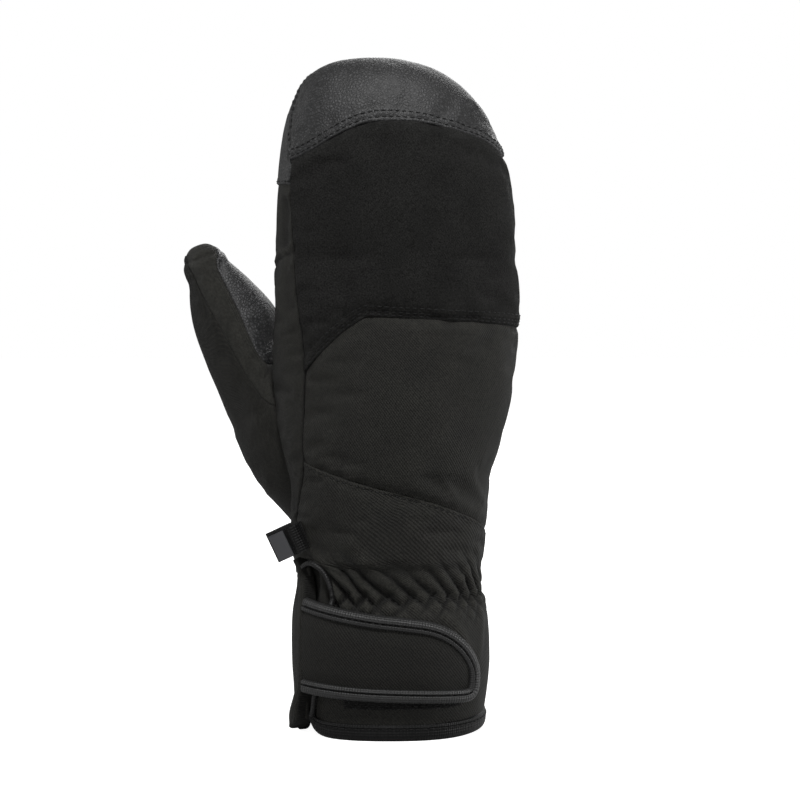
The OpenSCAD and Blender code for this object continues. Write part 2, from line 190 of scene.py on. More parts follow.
# height, then [half width, middle x, back depth, palm depth]
SECTIONS = [
    (0, [0.475 * CUFF_W, -0.8, 0.54 * HAND_D, 0.54 * HAND_D]),
    (30 * K, [0.5 * CUFF_W, -0.3, 0.57 * HAND_D, 0.56 * HAND_D]),
    (50 * K, [0.495 * CUFF_W, -0.4, 0.55 * HAND_D, 0.54 * HAND_D]),
    (WRIST_Z, [0.517 * WRIST_W, -1, 0.48 * HAND_D, 0.46 * HAND_D]),
    (84 * K, [0.54 * WRIST_W, -1, 0.5 * HAND_D, 0.47 * HAND_D]),
    (106 * K, [0.415 * PALM_W, -0.8, 0.54 * HAND_D, 0.49 * HAND_D]),
    (126 * K, [0.465 * PALM_W, -0.5, 0.56 * HAND_D, 0.48 * HAND_D]),
    (146 * K, [0.49 * PALM_W, 1, 0.55 * HAND_D, 0.46 * HAND_D]),
    (180 * K, [0.5 * PALM_W, 2.1, 0.53 * HAND_D, 0.43 * HAND_D]),
    (DOME_Z, [0.492 * PALM_W, 1.9, 0.51 * HAND_D, 0.41 * HAND_D]),
]
SQUARENESS = 2 / 2.3
HANG = 1.2  # the hem rises this much at its two sides
SLIT_RISE = 8  # and this much more beside the slit
SLIT_MIDDLE = 36
SLIT_SPREAD = 5  # degrees over which that rise fades on each side
DOME_LEAN = 9.5  # the fingertips lean this far to the thumb side
DOME_WIDE, DOME_DEEP = 2.6, 2.2  # powers of the dome's outline from the back and from the side
PALM_A = 200  # seam between the back and the palm, past the little finger
SIDE_A = -20  # seam between the palm and the thumb-side gusset
SLIT_A = 33  # front edge of the cuff's palm side, at the slit


def skin(t, z, off=0):
    """Point on the mitten at angle t and height z, off millimetres under its surface."""
    t, z = together(t, z)
    section = curve(SECTIONS, np.minimum(z, DOME_Z))
    f = np.clip((z - DOME_Z) / (TOTAL_H - DOME_Z), 0, 1)
    wide = (1 - f**DOME_WIDE) ** (1 / DOME_WIDE)
    deep = (1 - f**DOME_DEEP) ** (1 / DOME_DEEP)
    back = sin_deg(t) > 0
    depth = np.where(back, section[..., 2], section[..., 3]) - off
    x = section[..., 1] - DOME_LEAN * f**2.5
    x = x - (section[..., 0] - off) * wide * signed_pow(cos_deg(t), SQUARENESS)
    y = -depth * deep * signed_pow(sin_deg(t), SQUARENESS)
    rise = HANG * cos_deg(t) ** 4 * (1 - smooth(z / (25 * K)))
    rise = rise + SLIT_RISE * np.exp(-np.abs(t - SLIT_MIDDLE) / SLIT_SPREAD) * (1 - smooth(z / (16 * K)))
    return np.stack([x, y, z - off * f + rise], axis=-1)


THUMB_A = -13
THUMB_SPAN = 30
THUMB_Z = 119 * K
THUMB_HALF = 36 * K
# centre, half width, its direction in x and z in degrees, half depth, inner side's turn to the palm
THUMB = [
    ([-54.6, 11, 132.5], 25.8, 80, 19, 5),
    ([-60, 12, 150.3], 20.6, 60, 17, 9),
    ([-68, 13, 174.8], 17.2, 17, 14, 8),
    ([-77.8, 14, 193.6], 10.4, 25, 10.5, 1),
    ([-81.2, 14.5, 200.6], 8.2, 20, 7.8, 0),
    ([-83.2, 15, 206], 0, 20, 0, 0),
]
THUMB_ROUND = 0.9  # power that makes its rings a little squarer than ellipses
TIP_V = 0.9  # where the cap that closes its tip begins
THUMB_TUCK = 2.5  # how far the thumb's base reaches under the hand's panels


def thumb_skin(s, v, off=0):
    """Point on the thumb: s = 0 outer side, 90 back, 180 hand side, 270 palm; v from base to tip."""
    s, v = together(s, v)
    base_a = THUMB_A + (THUMB_SPAN - off) * sin_deg(s)
    base_z = THUMB_Z - (THUMB_HALF - off) * cos_deg(s)
    rings = [skin(base_a, base_z, THUMB_TUCK)]
    for centre, wide, lean, deep, turned in THUMB:
        half = max(0, wide * K - off) * signed_pow(cos_deg(s), THUMB_ROUND)
        depth = max(0, deep * K - off) * signed_pow(sin_deg(s), THUMB_ROUND)
        depth = depth - turned * np.maximum(0, -cos_deg(s)) ** 1.5
        lift = off if wide == 0 else 0
        ring = [half * cos_deg(lean), depth, half * sin_deg(lean) + lift]
        rings.append(np.array(centre) * K - np.stack(ring, axis=-1))
    rings = np.array(rings)
    count = len(THUMB)
    at = np.arange(count + 1)
    after = np.minimum(at + 1, count)
    before = np.maximum(at - 1, 0)
    slopes = (rings[after] - rings[before]) / (after - before)[:, None, None, None]
    # the last stretch closes like a ball
    x = v * count
    tip = np.clip(x - (count - 1), 0, 1)
    i = np.clip(np.floor(x), 0, count - 1).astype(int)
    f = (x - i)[..., None]
    rows, cols = np.indices(s.shape)
    here, there = (i, rows, cols), (i + 1, rows, cols)
    along = hermite(rings[here], rings[there], slopes[here], slopes[there], f)
    tip_start, tip_end = (np.array(THUMB[k][0]) * K for k in (-2, -1))
    centre = mix(tip_start, tip_end, sin_deg(90 * tip)[..., None])
    ball = centre + (rings[here] - tip_start) * signed_pow(cos_deg(90 * tip), THUMB_ROUND)[..., None]
    return np.where((tip > 0)[..., None], ball, along)


# ---- seam lines, as in the CAD ----


def angle_at(z, stations):
    """Angle at a height, through (height, angle) stations."""
    return curve([(height * K, angle) for height, angle in stations], z)


def gusset_edge(z):
    """Front seam of the thumb-side gusset."""
    low = [(60, 57), (70, 50), (78, 27), (88, 20)]
    return angle_at(z, low + [(115, 40), (154, 46), (190, 38), (230, 31.5), (285, 31)])


def diagonal(t):
    """Height of the seam that falls across the back, from the gusset to the little finger."""
    return K * mix(115.3, 83.2, (t - 41) / 139)


def chevron(t):
    """Height of the seam under the knit, which drops at its thumb end."""
    rise = 177.6 - 23.6 * (np.maximum(80 - t, 0) / 34) ** 1.15
    return K * np.where(t < 80, rise, 177.6 - 5.8 * (t - 80) / 100)


def cap_seam(t):
    """Height of the fingertip cap's lower edge."""
    stations = [(0, 275), (12, 269), (23, 255), (31, 242.5), (80, 257), (100, 258), (140, 252), (180, 244)]
    stations += [(210, 250), (270, 266), (330, 270), (360, 275)]
    return K * curve(stations, np.mod(t, 360))


def thumb_hole(z):
    """Half width of the thumb's opening at a height, from 0 to 1."""
    return np.sqrt(np.maximum(0, 1 - ((z - THUMB_Z) / (THUMB_HALF - 2)) ** 2))


def thumb_front(z):
    return mix(SIDE_A, THUMB_A + THUMB_SPAN - 2, thumb_hole(z))


def thumb_palm(z):
    return mix(SIDE_A + 360, THUMB_A + 360 - THUMB_SPAN + 2, thumb_hole(z))


# seams along the thumb, as angles round it


def outer_seam(v):
    return 123 - 103 * np.minimum(v, 0.86)


def patch_seam(v):
    return 103 + np.minimum(63, 450 * (v - 0.5) ** 2)


INNER_SEAM = 215
UNDER_SEAM = -35

# ---- cloth simulation: fabric blown up between its seams ----

SIM_SCALE = 0.01  # the solver is steadier on a mitten ten times life size
SIM_FRAMES = 26
CLOTH = {
    "quality": 5, "mass": 0.3, "air_damping": 3, "tension_stiffness": 25, "compression_stiffness": 12,
    "shear_stiffness": 8, "bending_stiffness": 0.6, "shrink_min": -0.02, "vertex_group_mass": "pin",
    "pin_stiffness": 1.5, "use_pressure": True, "uniform_pressure_force": 1.2,
}
SIM_LIMIT = 3.2  # no point moves further than this
SIM_SINK = 0.4  # nor further inwards, where the padding is


def tube_faces(rows, cols):
    j, i = np.indices((rows - 1, cols))
    near = (i + 1) % cols
    faces = [j * cols + i, j * cols + near, (j + 1) * cols + near, (j + 1) * cols + i]
    return np.stack(faces, axis=-1).reshape(-1, 4)


def normals_of(points, wrap):
    """Outward unit normals of a grid of points."""
    along = np.gradient(points, axis=1)
    if wrap:
        ends = (points[:, 1] - points[:, -2]) / 2
        along[:, 0] = along[:, -1] = ends
    up = np.gradient(points, axis=0)
    n = np.cross(along, up)
    size = length(n)[..., None]
    flat = size[..., 0] < 1e-9
    n = n / np.maximum(size, 1e-9)
    n[flat] = (0, 0, 1)
    return n


def settle(points, pinned):
    """Moves of a tube of fabric, a grid of points closed round its columns, held where pinned."""
    rows, cols = points.shape[:2]
    mesh = bpy.data.meshes.new("sim")
    mesh.from_pydata((points * SIM_SCALE).reshape(-1, 3), [], tube_faces(rows, cols))
    ob = new_object("sim", mesh)
    group = ob.vertex_groups.new(name="pin")
    for index, weight in enumerate(pinned.reshape(-1)):
        group.add([index], float(weight), "REPLACE")
    cloth = ob.modifiers.new("cloth", "CLOTH")
    cloth.collision_settings.use_collision = False
    cloth.point_cache.frame_end = SIM_FRAMES
    cloth.settings.effector_weights.gravity = 0
    for key, value in CLOTH.items():
        setattr(cloth.settings, key, value)
    scene = bpy.context.scene
    for step in range(1, SIM_FRAMES + 1):
        scene.frame_set(step)
    settled = ob.evaluated_get(bpy.context.evaluated_depsgraph_get()).data
    moved = np.empty(rows * cols * 3, np.float32)
    settled.vertices.foreach_get("co", moved)
    moves = moved.reshape(rows, cols, 3) / SIM_SCALE - points
    scene.frame_set(1)
    bpy.data.objects.remove(ob)
    bpy.data.meshes.remove(mesh)
    around = np.concatenate([points, points[:, :1]], axis=1)
    normals = normals_of(around, True)[:, :-1]
    outward = np.sum(moves * normals, axis=-1)[..., None]
    moves = moves + normals * (np.clip(outward, -SIM_SINK, SIM_LIMIT) - outward)
    size = length(moves)[..., None]
    return moves * np.minimum(1, SIM_LIMIT / np.maximum(size, 1e-6))


BELOW_DOME = 0.68  # share of the rows below the dome


def row_height(v):
    """Height of a row of the simulated tube, v from 0 to 1; height_row is its inverse."""
    low = DOME_Z * v / BELOW_DOME
    high = DOME_Z + (TOTAL_H - DOME_Z) * sin_deg(90 * np.clip((v - BELOW_DOME) / (1 - BELOW_DOME), 0, 1))
    return np.where(v < BELOW_DOME, low, high)


def height_row(z):
    f = np.clip((z - DOME_Z) / (TOTAL_H - DOME_Z), 0, 1)
    high = BELOW_DOME + (1 - BELOW_DOME) * np.degrees(np.arcsin(f)) / 90
    return np.where(z < DOME_Z, BELOW_DOME * z / DOME_Z, high)


def sample(field, u, v):
    """Bilinear value of a field closed round its columns, at u round it and v up it, 0 to 1."""
    rows, cols = field.shape[:2]
    x = np.mod(u, 1) * cols
    y = np.clip(v, 0, 1) * (rows - 1)
    i = np.floor(x).astype(int) % cols
    j = np.minimum(np.floor(y).astype(int), rows - 2)
    fx = (x - np.floor(x))[..., None]
    fy = (y - j)[..., None]
    low = mix(field[j, i], field[j, (i + 1) % cols], fx)
    high = mix(field[j + 1, i], field[j + 1, (i + 1) % cols], fx)
    return mix(low, high, fy)


HAND_TOP, THUMB_TOP = 0.995, 0.985  # the tubes stop just short of their closed tips


def apart(angle, middle):
    """Degrees from one angle to another, from -180 to 180."""
    return np.mod(angle - middle + 180, 360) - 180


def hand_moves():
    """How the simulation moves the hand and cuff, held at their seams and round the thumb."""
    rows, cols = 112, 108
    t, v = np.meshgrid(360 * np.arange(cols) / cols, np.linspace(0, HAND_TOP, rows))
    z = row_height(v)
    side = WRIST_W / 57.3  # millimetres along the section for one degree, at its widest
    pinned = bell(z - chevron(t), 2) * (t > 46) * (t < PALM_A)
    pinned += bell(z - diagonal(t), 2) * (t > 40) * (t < PALM_A)
    pinned += bell(z - cap_seam(t), 2)
    pinned += bell((t - gusset_edge(z)) * side * 0.7, 2) * (z > 77 * K)
    pinned += bell((t - PALM_A) * side * 0.7, 2)
    pinned += (z < WRIST_Z + 8) + (v > 0.99)
    pinned += np.hypot(apart(t, THUMB_A) / THUMB_SPAN, (z - THUMB_Z) / THUMB_HALF) < 1.05
    moves = settle(skin(t, z), np.clip(pinned, 0, 1))
    return moves * smooth((1 - v) * 7)[..., None]


def thumb_moves():
    rows, cols = 54, 56
    s, v = np.meshgrid(360 * np.arange(cols) / cols, np.linspace(0, THUMB_TOP, rows))
    pinned = (v < 0.1) + (v > 0.97) * 1.0
    for seam in (outer_seam(v), patch_seam(v), INNER_SEAM, UNDER_SEAM + 360):
        pinned = pinned + bell(apart(s, seam), 6)
    moves = settle(thumb_skin(s, v), np.clip(pinned, 0, 1))
    return moves * 0.7 * smooth((TIP_V - v) * 6)[..., None]


HAND_MOVES = hand_moves()
THUMB_MOVES = thumb_moves()


def hand_surface(t, z):
    """The outer fabric of the hand and cuff, after the simulation."""
    t, z = together(t, z)
    return skin(t, z) + sample(HAND_MOVES, t / 360, height_row(z) / HAND_TOP)


def thumb_surface(s, v):
    s, v = together(s, v)
    return thumb_skin(s, v) + sample(THUMB_MOVES, s / 360, v / THUMB_TOP)


# ---- meshes ----


SHARP = math.radians(65)  # edges sharper than this are not shaded smooth


class Shape:
    """Vertices and faces of one piece, gathered part by part."""

    def __init__(self):
        self.verts, self.faces, self.slots, self.uvs, self.painted_light = [], [], [], [], []
        self.count = 0

    def add(self, verts, faces, slot=0, uv=None, painted_light=None):
        verts = np.asarray(verts, float).reshape(-1, 3)
        faces = np.asarray(faces, int).reshape(-1, 4)
        self.verts.append(verts)
        self.faces.append(faces + self.count)
        self.slots.append(np.full(len(faces), slot))
        self.uvs.append(np.zeros((len(verts), 2)) if uv is None else np.asarray(uv).reshape(-1, 2))
        self.painted_light.append(np.ones(len(verts)) if painted_light is None else painted_light)
        self.count += len(verts)

    def build(self, name, materials, follow, nodes=None):
        """The piece as an object, in place of its CAD nodes, riding on a body or passed to a follow
        function.
        """
        verts = np.concatenate(self.verts)
        faces = np.concatenate(self.faces)
        mesh = bpy.data.meshes.new(name)
        # a quad that closes on a pole repeats a corner, and becomes a triangle
        faces = [list(dict.fromkeys(face)) for face in faces.tolist()]
        kept = [len(face) > 2 for face in faces]
        mesh.from_pydata((verts * MM).tolist(), [], [face for face, keep in zip(faces, kept) if keep])
        for material in materials:
            mesh.materials.append(material)
        mesh.polygons.foreach_set("material_index", np.concatenate(self.slots)[kept].astype(np.int32))
        mesh.polygons.foreach_set("use_smooth", np.full(sum(kept), True))
        corner = np.empty(len(mesh.loops), np.int32)
        mesh.loops.foreach_get("vertex_index", corner)
        layer = mesh.uv_layers.new(name="cloth")
        layer.data.foreach_set("uv", np.concatenate(self.uvs)[corner].ravel().astype(np.float32))
        # painted_light: per-vertex factor that scales the colour, a painted highlight above 1 and painted
        # shade below 1
        for kind, attribute, key, values in (
            ("FLOAT", "painted_light", "value", np.concatenate(self.painted_light)),
            ("FLOAT_VECTOR", "rest", "vector", verts.ravel()),
        ):
            data = mesh.attributes.new(attribute, kind, "POINT").data
            data.foreach_set(key, values.astype(np.float32))
        mesh.update()
        mesh.set_sharp_from_angle(angle=SHARP)
        ob = new_object(name, mesh)
        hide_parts(*(nodes or [name]))
        if callable(follow):
            follow(ob)
        else:
            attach(ob, follow)


def distances(points):
    """Millimetres from each point of a grid to its left, right, lower and upper edge."""
    across = length(np.diff(points, axis=1))
    left = np.concatenate([np.zeros((len(points), 1)), np.cumsum(across, axis=1)], axis=1)
    upward = length(np.diff(points, axis=0))
    low = np.concatenate([np.zeros((1, points.shape[1])), np.cumsum(upward, axis=0)], axis=0)
    return {"left": left, "right": left[:, -1:] - left, "low": low, "top": low[-1:] - low}


ROLL = 1.1  # width over which a panel's edge rolls in
STITCH_DIP = 0.22  # depth of the groove that a row of stitches pulls in
SEAM_DIP = 0.35  # depth of the hollow beside a plain seam


class Edge:
    """How a panel ends at a seam: lift and width of its folded margin, the distances of its stitch
    rows, how deep it tucks in, and the height of its puckers."""

    def __init__(self, lift=0.0, margin=5.0, rows=(), tuck=1.0, pucker=0.0):
        self.lift, self.margin, self.rows, self.tuck, self.pucker = lift, margin, rows, tuck, pucker

    def relief(self, d, along, seed):
        edge = np.clip(1 - d / ROLL, 0, 1)
        h = -self.tuck * (1 - np.sqrt(1 - edge * edge))
        h += self.lift * smooth((self.margin - d) / 1.2)
        h -= SEAM_DIP * bell(d, 4) * (self.lift <= 0) * (self.tuck > 0)
        for row in self.rows:
            h -= STITCH_DIP * bell(d - row, 0.5)
        h += self.pucker * noise(along / 3.1, d / 14, seed) * np.exp(-d / 7) * smooth(d / 1.5)
        return h


UNDER = Edge(tuck=0.9, pucker=0.25)
PLAIN = Edge(tuck=0.6, pucker=0.25)
OPEN = Edge(tuck=0.0)
ONE_ROW = Edge(lift=0.3, margin=3.2, rows=(1.6,), pucker=0.3)
THREE_ROWS = Edge(lift=0.35, margin=6.0, rows=(1.2, 2.6, 5.0), pucker=0.3)


def around(left, right, low, top):
    """The edges of a panel, all four."""
    return {"left": left, "right": right, "low": low, "top": top}


def even_grid(width, height, pitch):
    """Grid fractions with rows and columns closer together near the edges."""

    def spread(size):
        n = max(6, int(size / pitch))
        x = np.linspace(0, 1, n + 1)
        return x - 0.55 * np.sin(2 * np.pi * x) / (2 * np.pi)

    return np.meshgrid(spread(width), spread(height))


LAP = 0.8  # a lifted edge reaches this far over the panel beside it


def bent_grid(ta, tb, za, zb, u, v, gap, edges):
    """Angle and height over a panel whose side edges depend on height, its ends on angle."""
    ta, tb, za, zb = (as_line(border) for border in (ta, tb, za, zb))
    low, top = (-LAP if edges[end].lift else gap for end in ("low", "top"))
    gap_a = gap * 360 / (math.pi * PALM_W)
    t = mix(ta(KNUCKLE_Z), tb(KNUCKLE_Z), u)
    for _ in range(10):
        z = mix(za(t) + low, zb(t) - top, v)
        t = mix(ta(z) + gap_a, tb(z) - gap_a, u)
    return t, z


def as_line(value):
    """A seam or border as a function, also where it is one plain angle or height."""
    return value if callable(value) else lambda x: value + 0 * x


def row_along(points, d, offset, side):
    """Polyline inside a grid at a distance from one of its edges."""
    if side in ("left", "right"):
        points, d = points.transpose(1, 0, 2), d.T
    if side in ("right", "top"):
        points, d = points[::-1], d[::-1]
    line = []
    for i in range(points.shape[1]):
        at = np.interp(offset, d[:, i], np.arange(len(d)))
        j = min(int(at), len(d) - 2)
        line.append(mix(points[j, i], points[j + 1, i], at - j))
    return np.array(line)


def run_along(line):
    """Length along a polyline up to each of its points."""
    return np.concatenate([[0], np.cumsum(length(np.diff(line, axis=0)))])


def resample(line, pitch):
    """Middle points and directions of even steps along a polyline."""
    run = run_along(line)
    count = int(run[-1] / pitch)
    middle = (np.arange(count) + 0.5) * run[-1] / count

    def place(shift):
        return np.stack([np.interp(middle + shift, run, column) for column in line.T], axis=-1)

    return place(0), place(0.5) - place(-0.5)


STITCH_PITCH = 2.9
THREAD_R = 0.27


def add_stitches(shape, line, normals, slot=1):
    """A row of thread stitches, short bent capsules half sunk in the fabric."""
    at, way = resample(np.concatenate([line, normals], axis=1), STITCH_PITCH)
    n = at[:, 3:] / length(at[:, 3:])[:, None]
    way = way[:, :3] / np.maximum(length(way[:, :3]), 1e-9)[:, None]
    side = np.cross(way, n)
    rings, sides = 6, 6
    x = np.linspace(-1, 1, rings)
    radius = THREAD_R * np.sqrt(np.maximum(0.02, 1 - np.abs(x) ** 3))
    rise = 0.12 - 0.26 * x**2
    turn = 2 * np.pi * np.arange(sides) / sides
    grid = (
        at[:, None, None, :3]
        + way[:, None, None, :] * (x * 0.4 * STITCH_PITCH)[None, :, None, None]
        + side[:, None, None, :] * (radius[:, None] * np.cos(turn))[None, :, :, None]
        + n[:, None, None, :] * (rise[:, None] + radius[:, None] * np.sin(turn))[None, :, :, None]
    )
    ends = np.array([[0, 5, 4, 3], [0, 3, 2, 1]])
    last = (rings - 1) * sides
    one = np.concatenate([tube_faces(rings, sides), ends, last + ends[:, ::-1]])
    faces = one[None] + (np.arange(len(at)) * rings * sides)[:, None, None]
    shape.add(grid, faces, slot)


def grid_faces(rows, cols):
    j, i = np.indices((rows - 1, cols - 1))
    faces = [j * cols + i, j * cols + i + 1, (j + 1) * cols + i + 1, (j + 1) * cols + i]
    return np.stack(faces, axis=-1).reshape(-1, 4)


def add_sheet(shape, outer, inner, uv, wrap=False, pole=False, painted_light=None):
    """A closed sheet of fabric between two grids of points."""
    # the painted light factor scales the colour: painted highlight above 1, painted shade below 1
    painted_light = np.ones(outer.shape[:2]) if painted_light is None else painted_light
    if wrap:
        outer, inner, uv, painted_light = outer[:, :-1], inner[:, :-1], uv[:, :-1], painted_light[:, :-1]
    rows, cols = outer.shape[:2]
    faces = tube_faces(rows, cols) if wrap else grid_faces(rows, cols)
    if pole:
        # the last row is one point, so its vertices all share the first one's place
        top = (rows - 1) * cols
        faces = np.where(faces > top, top, faces)
    half = rows * cols
    both = [faces, faces[:, ::-1] + half]
    low = np.arange(cols)
    rims = [] if wrap else [np.arange(rows) * cols, (np.arange(rows) * cols + cols - 1)[::-1]]
    rims.append(low[::-1])
    if wrap:
        rims[-1] = np.append(low, 0)[::-1]
    if not pole:
        high = low + (rows - 1) * cols
        rims.append(np.append(high, high[0]) if wrap else high)
    for rim in rims:
        a, b = rim[:-1], rim[1:]
        both.append(np.stack([a, b, b + half, a + half], axis=-1))
    verts = np.concatenate([outer.reshape(-1, 3), inner.reshape(-1, 3)])
    shape.add(verts, np.concatenate(both), 0, np.tile(uv.reshape(-1, 2), (2, 1)), np.tile(painted_light.ravel(), 2))


FABRIC_T = 0.9


def sheet_piece(name, outer, inner, uv, material, follow, wrap=False, pole=False):
    shape = Shape()
    add_sheet(shape, outer, inner, uv, wrap, pole)
    shape.build(name, [material], follow)


def cloth_uv(points, wrap=False):
    """Millimetres across and along the fabric, measured from the grid's middle."""
    d = distances(points)
    across = d["left"] if wrap else d["left"] - d["left"][:, -1:] / 2
    return np.stack([across, d["low"]], axis=-1)


# painted light and shade: how strongly a relief lightens its ridges and darkens its valleys in the colour
PAINTED_LIGHT_CONTRAST = 1.25
PAINTED_LIGHT_SPREAD = 20  # rounds of smoothing that give the level a ridge stands out from


def painted_relief_light(h):
    """Painted light and shade of a relief: ridges are painted lighter, as a highlight, and valleys darker,
    as shade.
    """
    mean = h
    for _ in range(PAINTED_LIGHT_SPREAD):
        mean = np.pad(mean, 1, mode="edge")
        mean = (mean[:-2] + 2 * mean[1:-1] + mean[2:]) / 4
        mean = (mean[:, :-2] + 2 * mean[:, 1:-1] + mean[:, 2:]) / 4
    return np.clip(1 + PAINTED_LIGHT_CONTRAST * (h - mean), 0.3, 1.5)


def add_panel(shape, points, edges, relief=0, seed=0, wrap=False, pole=False, thickness=FABRIC_T):
    """A fabric panel over a grid of surface points, with rolled, stitched edges."""
    d = distances(points)
    n = normals_of(points, wrap)
    h = relief + 0.12 * noise(points[..., 0] / 9, points[..., 2] / 9, seed) * np.ones(d["left"].shape)
    for k, (side, edge) in enumerate(edges.items()):
        along = d["low"] if side in ("left", "right") else d["left"]
        h = h + edge.relief(d[side], along, seed + 11 * k)
    outer = points + n * h[..., None]
    n_outer = normals_of(outer, wrap)
    # the relief also paints light and shade into the colour: lighter ridges, darker valleys and seam tucks
    add_sheet(shape, outer, outer - n * thickness, cloth_uv(points, wrap), wrap, pole, painted_relief_light(h))
    for side, edge in edges.items():
        for row in edge.rows:
            line = row_along(outer, d[side], row, side)
            add_stitches(shape, line, row_along(n_outer, d[side], row, side))


# ---- materials ----


class Look:
    """A material's node tree, with short helpers."""

    def __init__(self, name):
        self.material = bpy.data.materials.new(name)
        self.material.use_nodes = True
        self.tree = self.material.node_tree
        self.shader = self.tree.nodes["Principled BSDF"]
        self.rest = self.node("ShaderNodeAttribute", attribute_name="rest").outputs["Vector"]
        self.uv = self.node("ShaderNodeUVMap", uv_map="cloth").outputs["UV"]

    def node(self, kind, **settings):
        made = self.tree.nodes.new(kind)
        for key, value in settings.items():
            setattr(made, key, value)
        return made

    def link(self, source, target):
        if isinstance(source, bpy.types.NodeSocket):
            self.tree.links.new(source, target)
        else:
            target.default_value = source

    def math(self, operation, a, b=0.0, c=0.0):
        made = self.node("ShaderNodeMath", operation=operation)
        for socket, value in zip(made.inputs, (a, b, c)):
            self.link(value, socket)
        return made.outputs[0]

    def total(self, *terms):
        """Sum of two (value, weight) terms."""
        return self.math("ADD", *(self.math("MULTIPLY", *term) for term in terms))

    def noise(self, scale, detail=2.0, rough=0.5):
        made = self.node("ShaderNodeTexNoise")
        self.link(self.rest, made.inputs["Vector"])
        made.inputs["Scale"].default_value = scale
        made.inputs["Detail"].default_value = detail
        made.inputs["Roughness"].default_value = rough
        return made.outputs["Fac"]

    def cells(self, scale, feature="DISTANCE_TO_EDGE"):
        made = self.node("ShaderNodeTexVoronoi", feature=feature)
        self.link(self.rest, made.inputs["Vector"])
        made.inputs["Scale"].default_value = scale
        return made.outputs["Distance"]

    def stripes(self, across, along):
        """Sine stripes in the fabric's own millimetres, from -1 to 1."""
        dot = self.node("ShaderNodeVectorMath", operation="DOT_PRODUCT")
        self.link(self.uv, dot.inputs[0])
        dot.inputs[1].default_value = (2 * math.pi * across, 2 * math.pi * along, 0)
        return self.math("SINE", dot.outputs["Value"])

    def ramp(self, factor, low, high, start=0.0, end=1.0):
        """Maps the range from start to end onto low to high."""
        made = self.node("ShaderNodeMapRange")
        for socket, value in zip(made.inputs, (factor, start, end, low, high)):
            self.link(value, socket)
        return made.outputs["Result"]

    def shade(self, factor, dark, light, warm=0.0):
        """Colour between two screen greys as a factor goes from 0 to 1."""
        made = self.node("ShaderNodeMix", data_type="RGBA")
        colours = [socket for socket in made.inputs if socket.type == "RGBA"]
        self.link(factor, made.inputs["Factor"])
        for socket, value in zip(colours, (dark, light)):
            socket.default_value = (*grey(value, warm), 1)
        return next(socket for socket in made.outputs if socket.type == "RGBA")

    def finish(self, colour, roughness, height, depth, specular=0.3, sheen=0.0, cloth=True):
        """Connects colour, roughness and a bump whose height 1 is depth millimetres; for cloth the colour is
        first scaled by the painted light and shade factor.
        """
        tone = self.node("ShaderNodeVectorMath", operation="SCALE")
        self.link(colour, tone.inputs[0])
        # painted light and shade: cloth colour is multiplied by the per-vertex painted light factor
        painted_light = self.node("ShaderNodeAttribute", attribute_name="painted_light").outputs["Fac"] if cloth else 1.0
        self.link(painted_light, tone.inputs["Scale"])
        bump = self.node("ShaderNodeBump")
        self.link(depth * MM, bump.inputs["Distance"])
        self.link(height, bump.inputs["Height"])
        inputs = {
            "Base Color": tone.outputs["Vector"], "Roughness": roughness, "Specular IOR Level": specular,
            "Sheen Weight": sheen, "Sheen Roughness": 0.4, "Normal": bump.outputs["Normal"],
        }
        for name, value in inputs.items():
            self.link(value, self.shader.inputs[name])
        return self.material


def grey(value, warm=0.0):
    """Linear colour of a screen grey from 0 to 255, a little warm or cool."""
    return tuple((max(0.0, value + shift * warm) / 255) ** 2.2 for shift in (0.5, 0.3, -1))


def leather(name, dark, light):
    """Pebbled leather: rounded cells about 1.3 mm wide with dark creases between them."""
    look = Look(name)
    pebble = look.ramp(look.cells(0.75), 0, 1, 0.02, 0.4)
    fine = look.noise(2.4, 3, 0.6)
    tone = look.total((pebble, 0.85), (look.noise(0.05, 2), 0.15))
    height = look.total((pebble, 0.8), (fine, 0.4))
    colour = look.shade(tone, dark, light, warm=-0.6)
    return look.finish(colour, look.ramp(fine, 0.52, 0.66), height, 0.17, specular=0.36)


def knit():
    """Brushed knit with light flecks over faint rows of loops."""
    look = Look("knit")
    fleck = look.noise(1.7, 3, 0.8)
    loops = look.math("MULTIPLY", look.stripes(0.85, 0.0), look.stripes(0.0, 0.65))
    tone = look.total((look.ramp(fleck, 0, 1, 0.32, 0.68), 1), (loops, 0.05))
    colour = look.shade(tone, 8, 37, warm=0.6)
    return look.finish(colour, 0.95, look.total((loops, 0.12), (fleck, 1)), 0.25, specular=0.1, sheen=0.012)


def twill(name, dark, light):
    """Twill: diagonal ribs crossed by finer yarns."""
    look = Look(name)
    rib = look.stripes(0.7, 0.7)
    yarn = look.stripes(0.9, -0.45)
    slub = look.noise(1.1, 4, 0.75)
    tone = look.total((rib, 0.16), (look.ramp(slub, 0.05, 0.95, 0.35, 0.65), 1))
    colour = look.shade(tone, dark, light, warm=2)
    height = look.total((rib, 0.5), (yarn, 0.25))
    return look.finish(colour, look.ramp(slub, 0.68, 0.88), height, 0.16, specular=0.2, sheen=0.015)


def softshell(name, dark, light):
    """Stretch fabric with a fine plain weave."""
    look = Look(name)
    weave = look.math("MULTIPLY", look.stripes(1.1, 0.35), look.stripes(-0.2, 1.4))
    slub = look.noise(0.9, 4, 0.75)
    tone = look.total((weave, 0.35), (look.ramp(slub, 0.1, 0.9, 0.35, 0.65), 1))
    return look.finish(look.shade(tone, dark, light, warm=2), 0.8, weave, 0.14, specular=0.2, sheen=0.02)


def tape(name, dark, light, shine):
    """Binding tape with square ribs."""
    look = Look(name)
    height = look.total((look.stripes(0.9, 0.0), 0.4), (look.stripes(0.0, 0.9), 0.4))
    tone = look.total((height, 0.3), (look.ramp(look.noise(0.5, 3, 0.6), 0.1, 0.9, 0.3, 0.7), 1))
    return look.finish(look.shade(tone, dark, light), 0.5, height, 0.16, specular=shine, sheen=0.02)


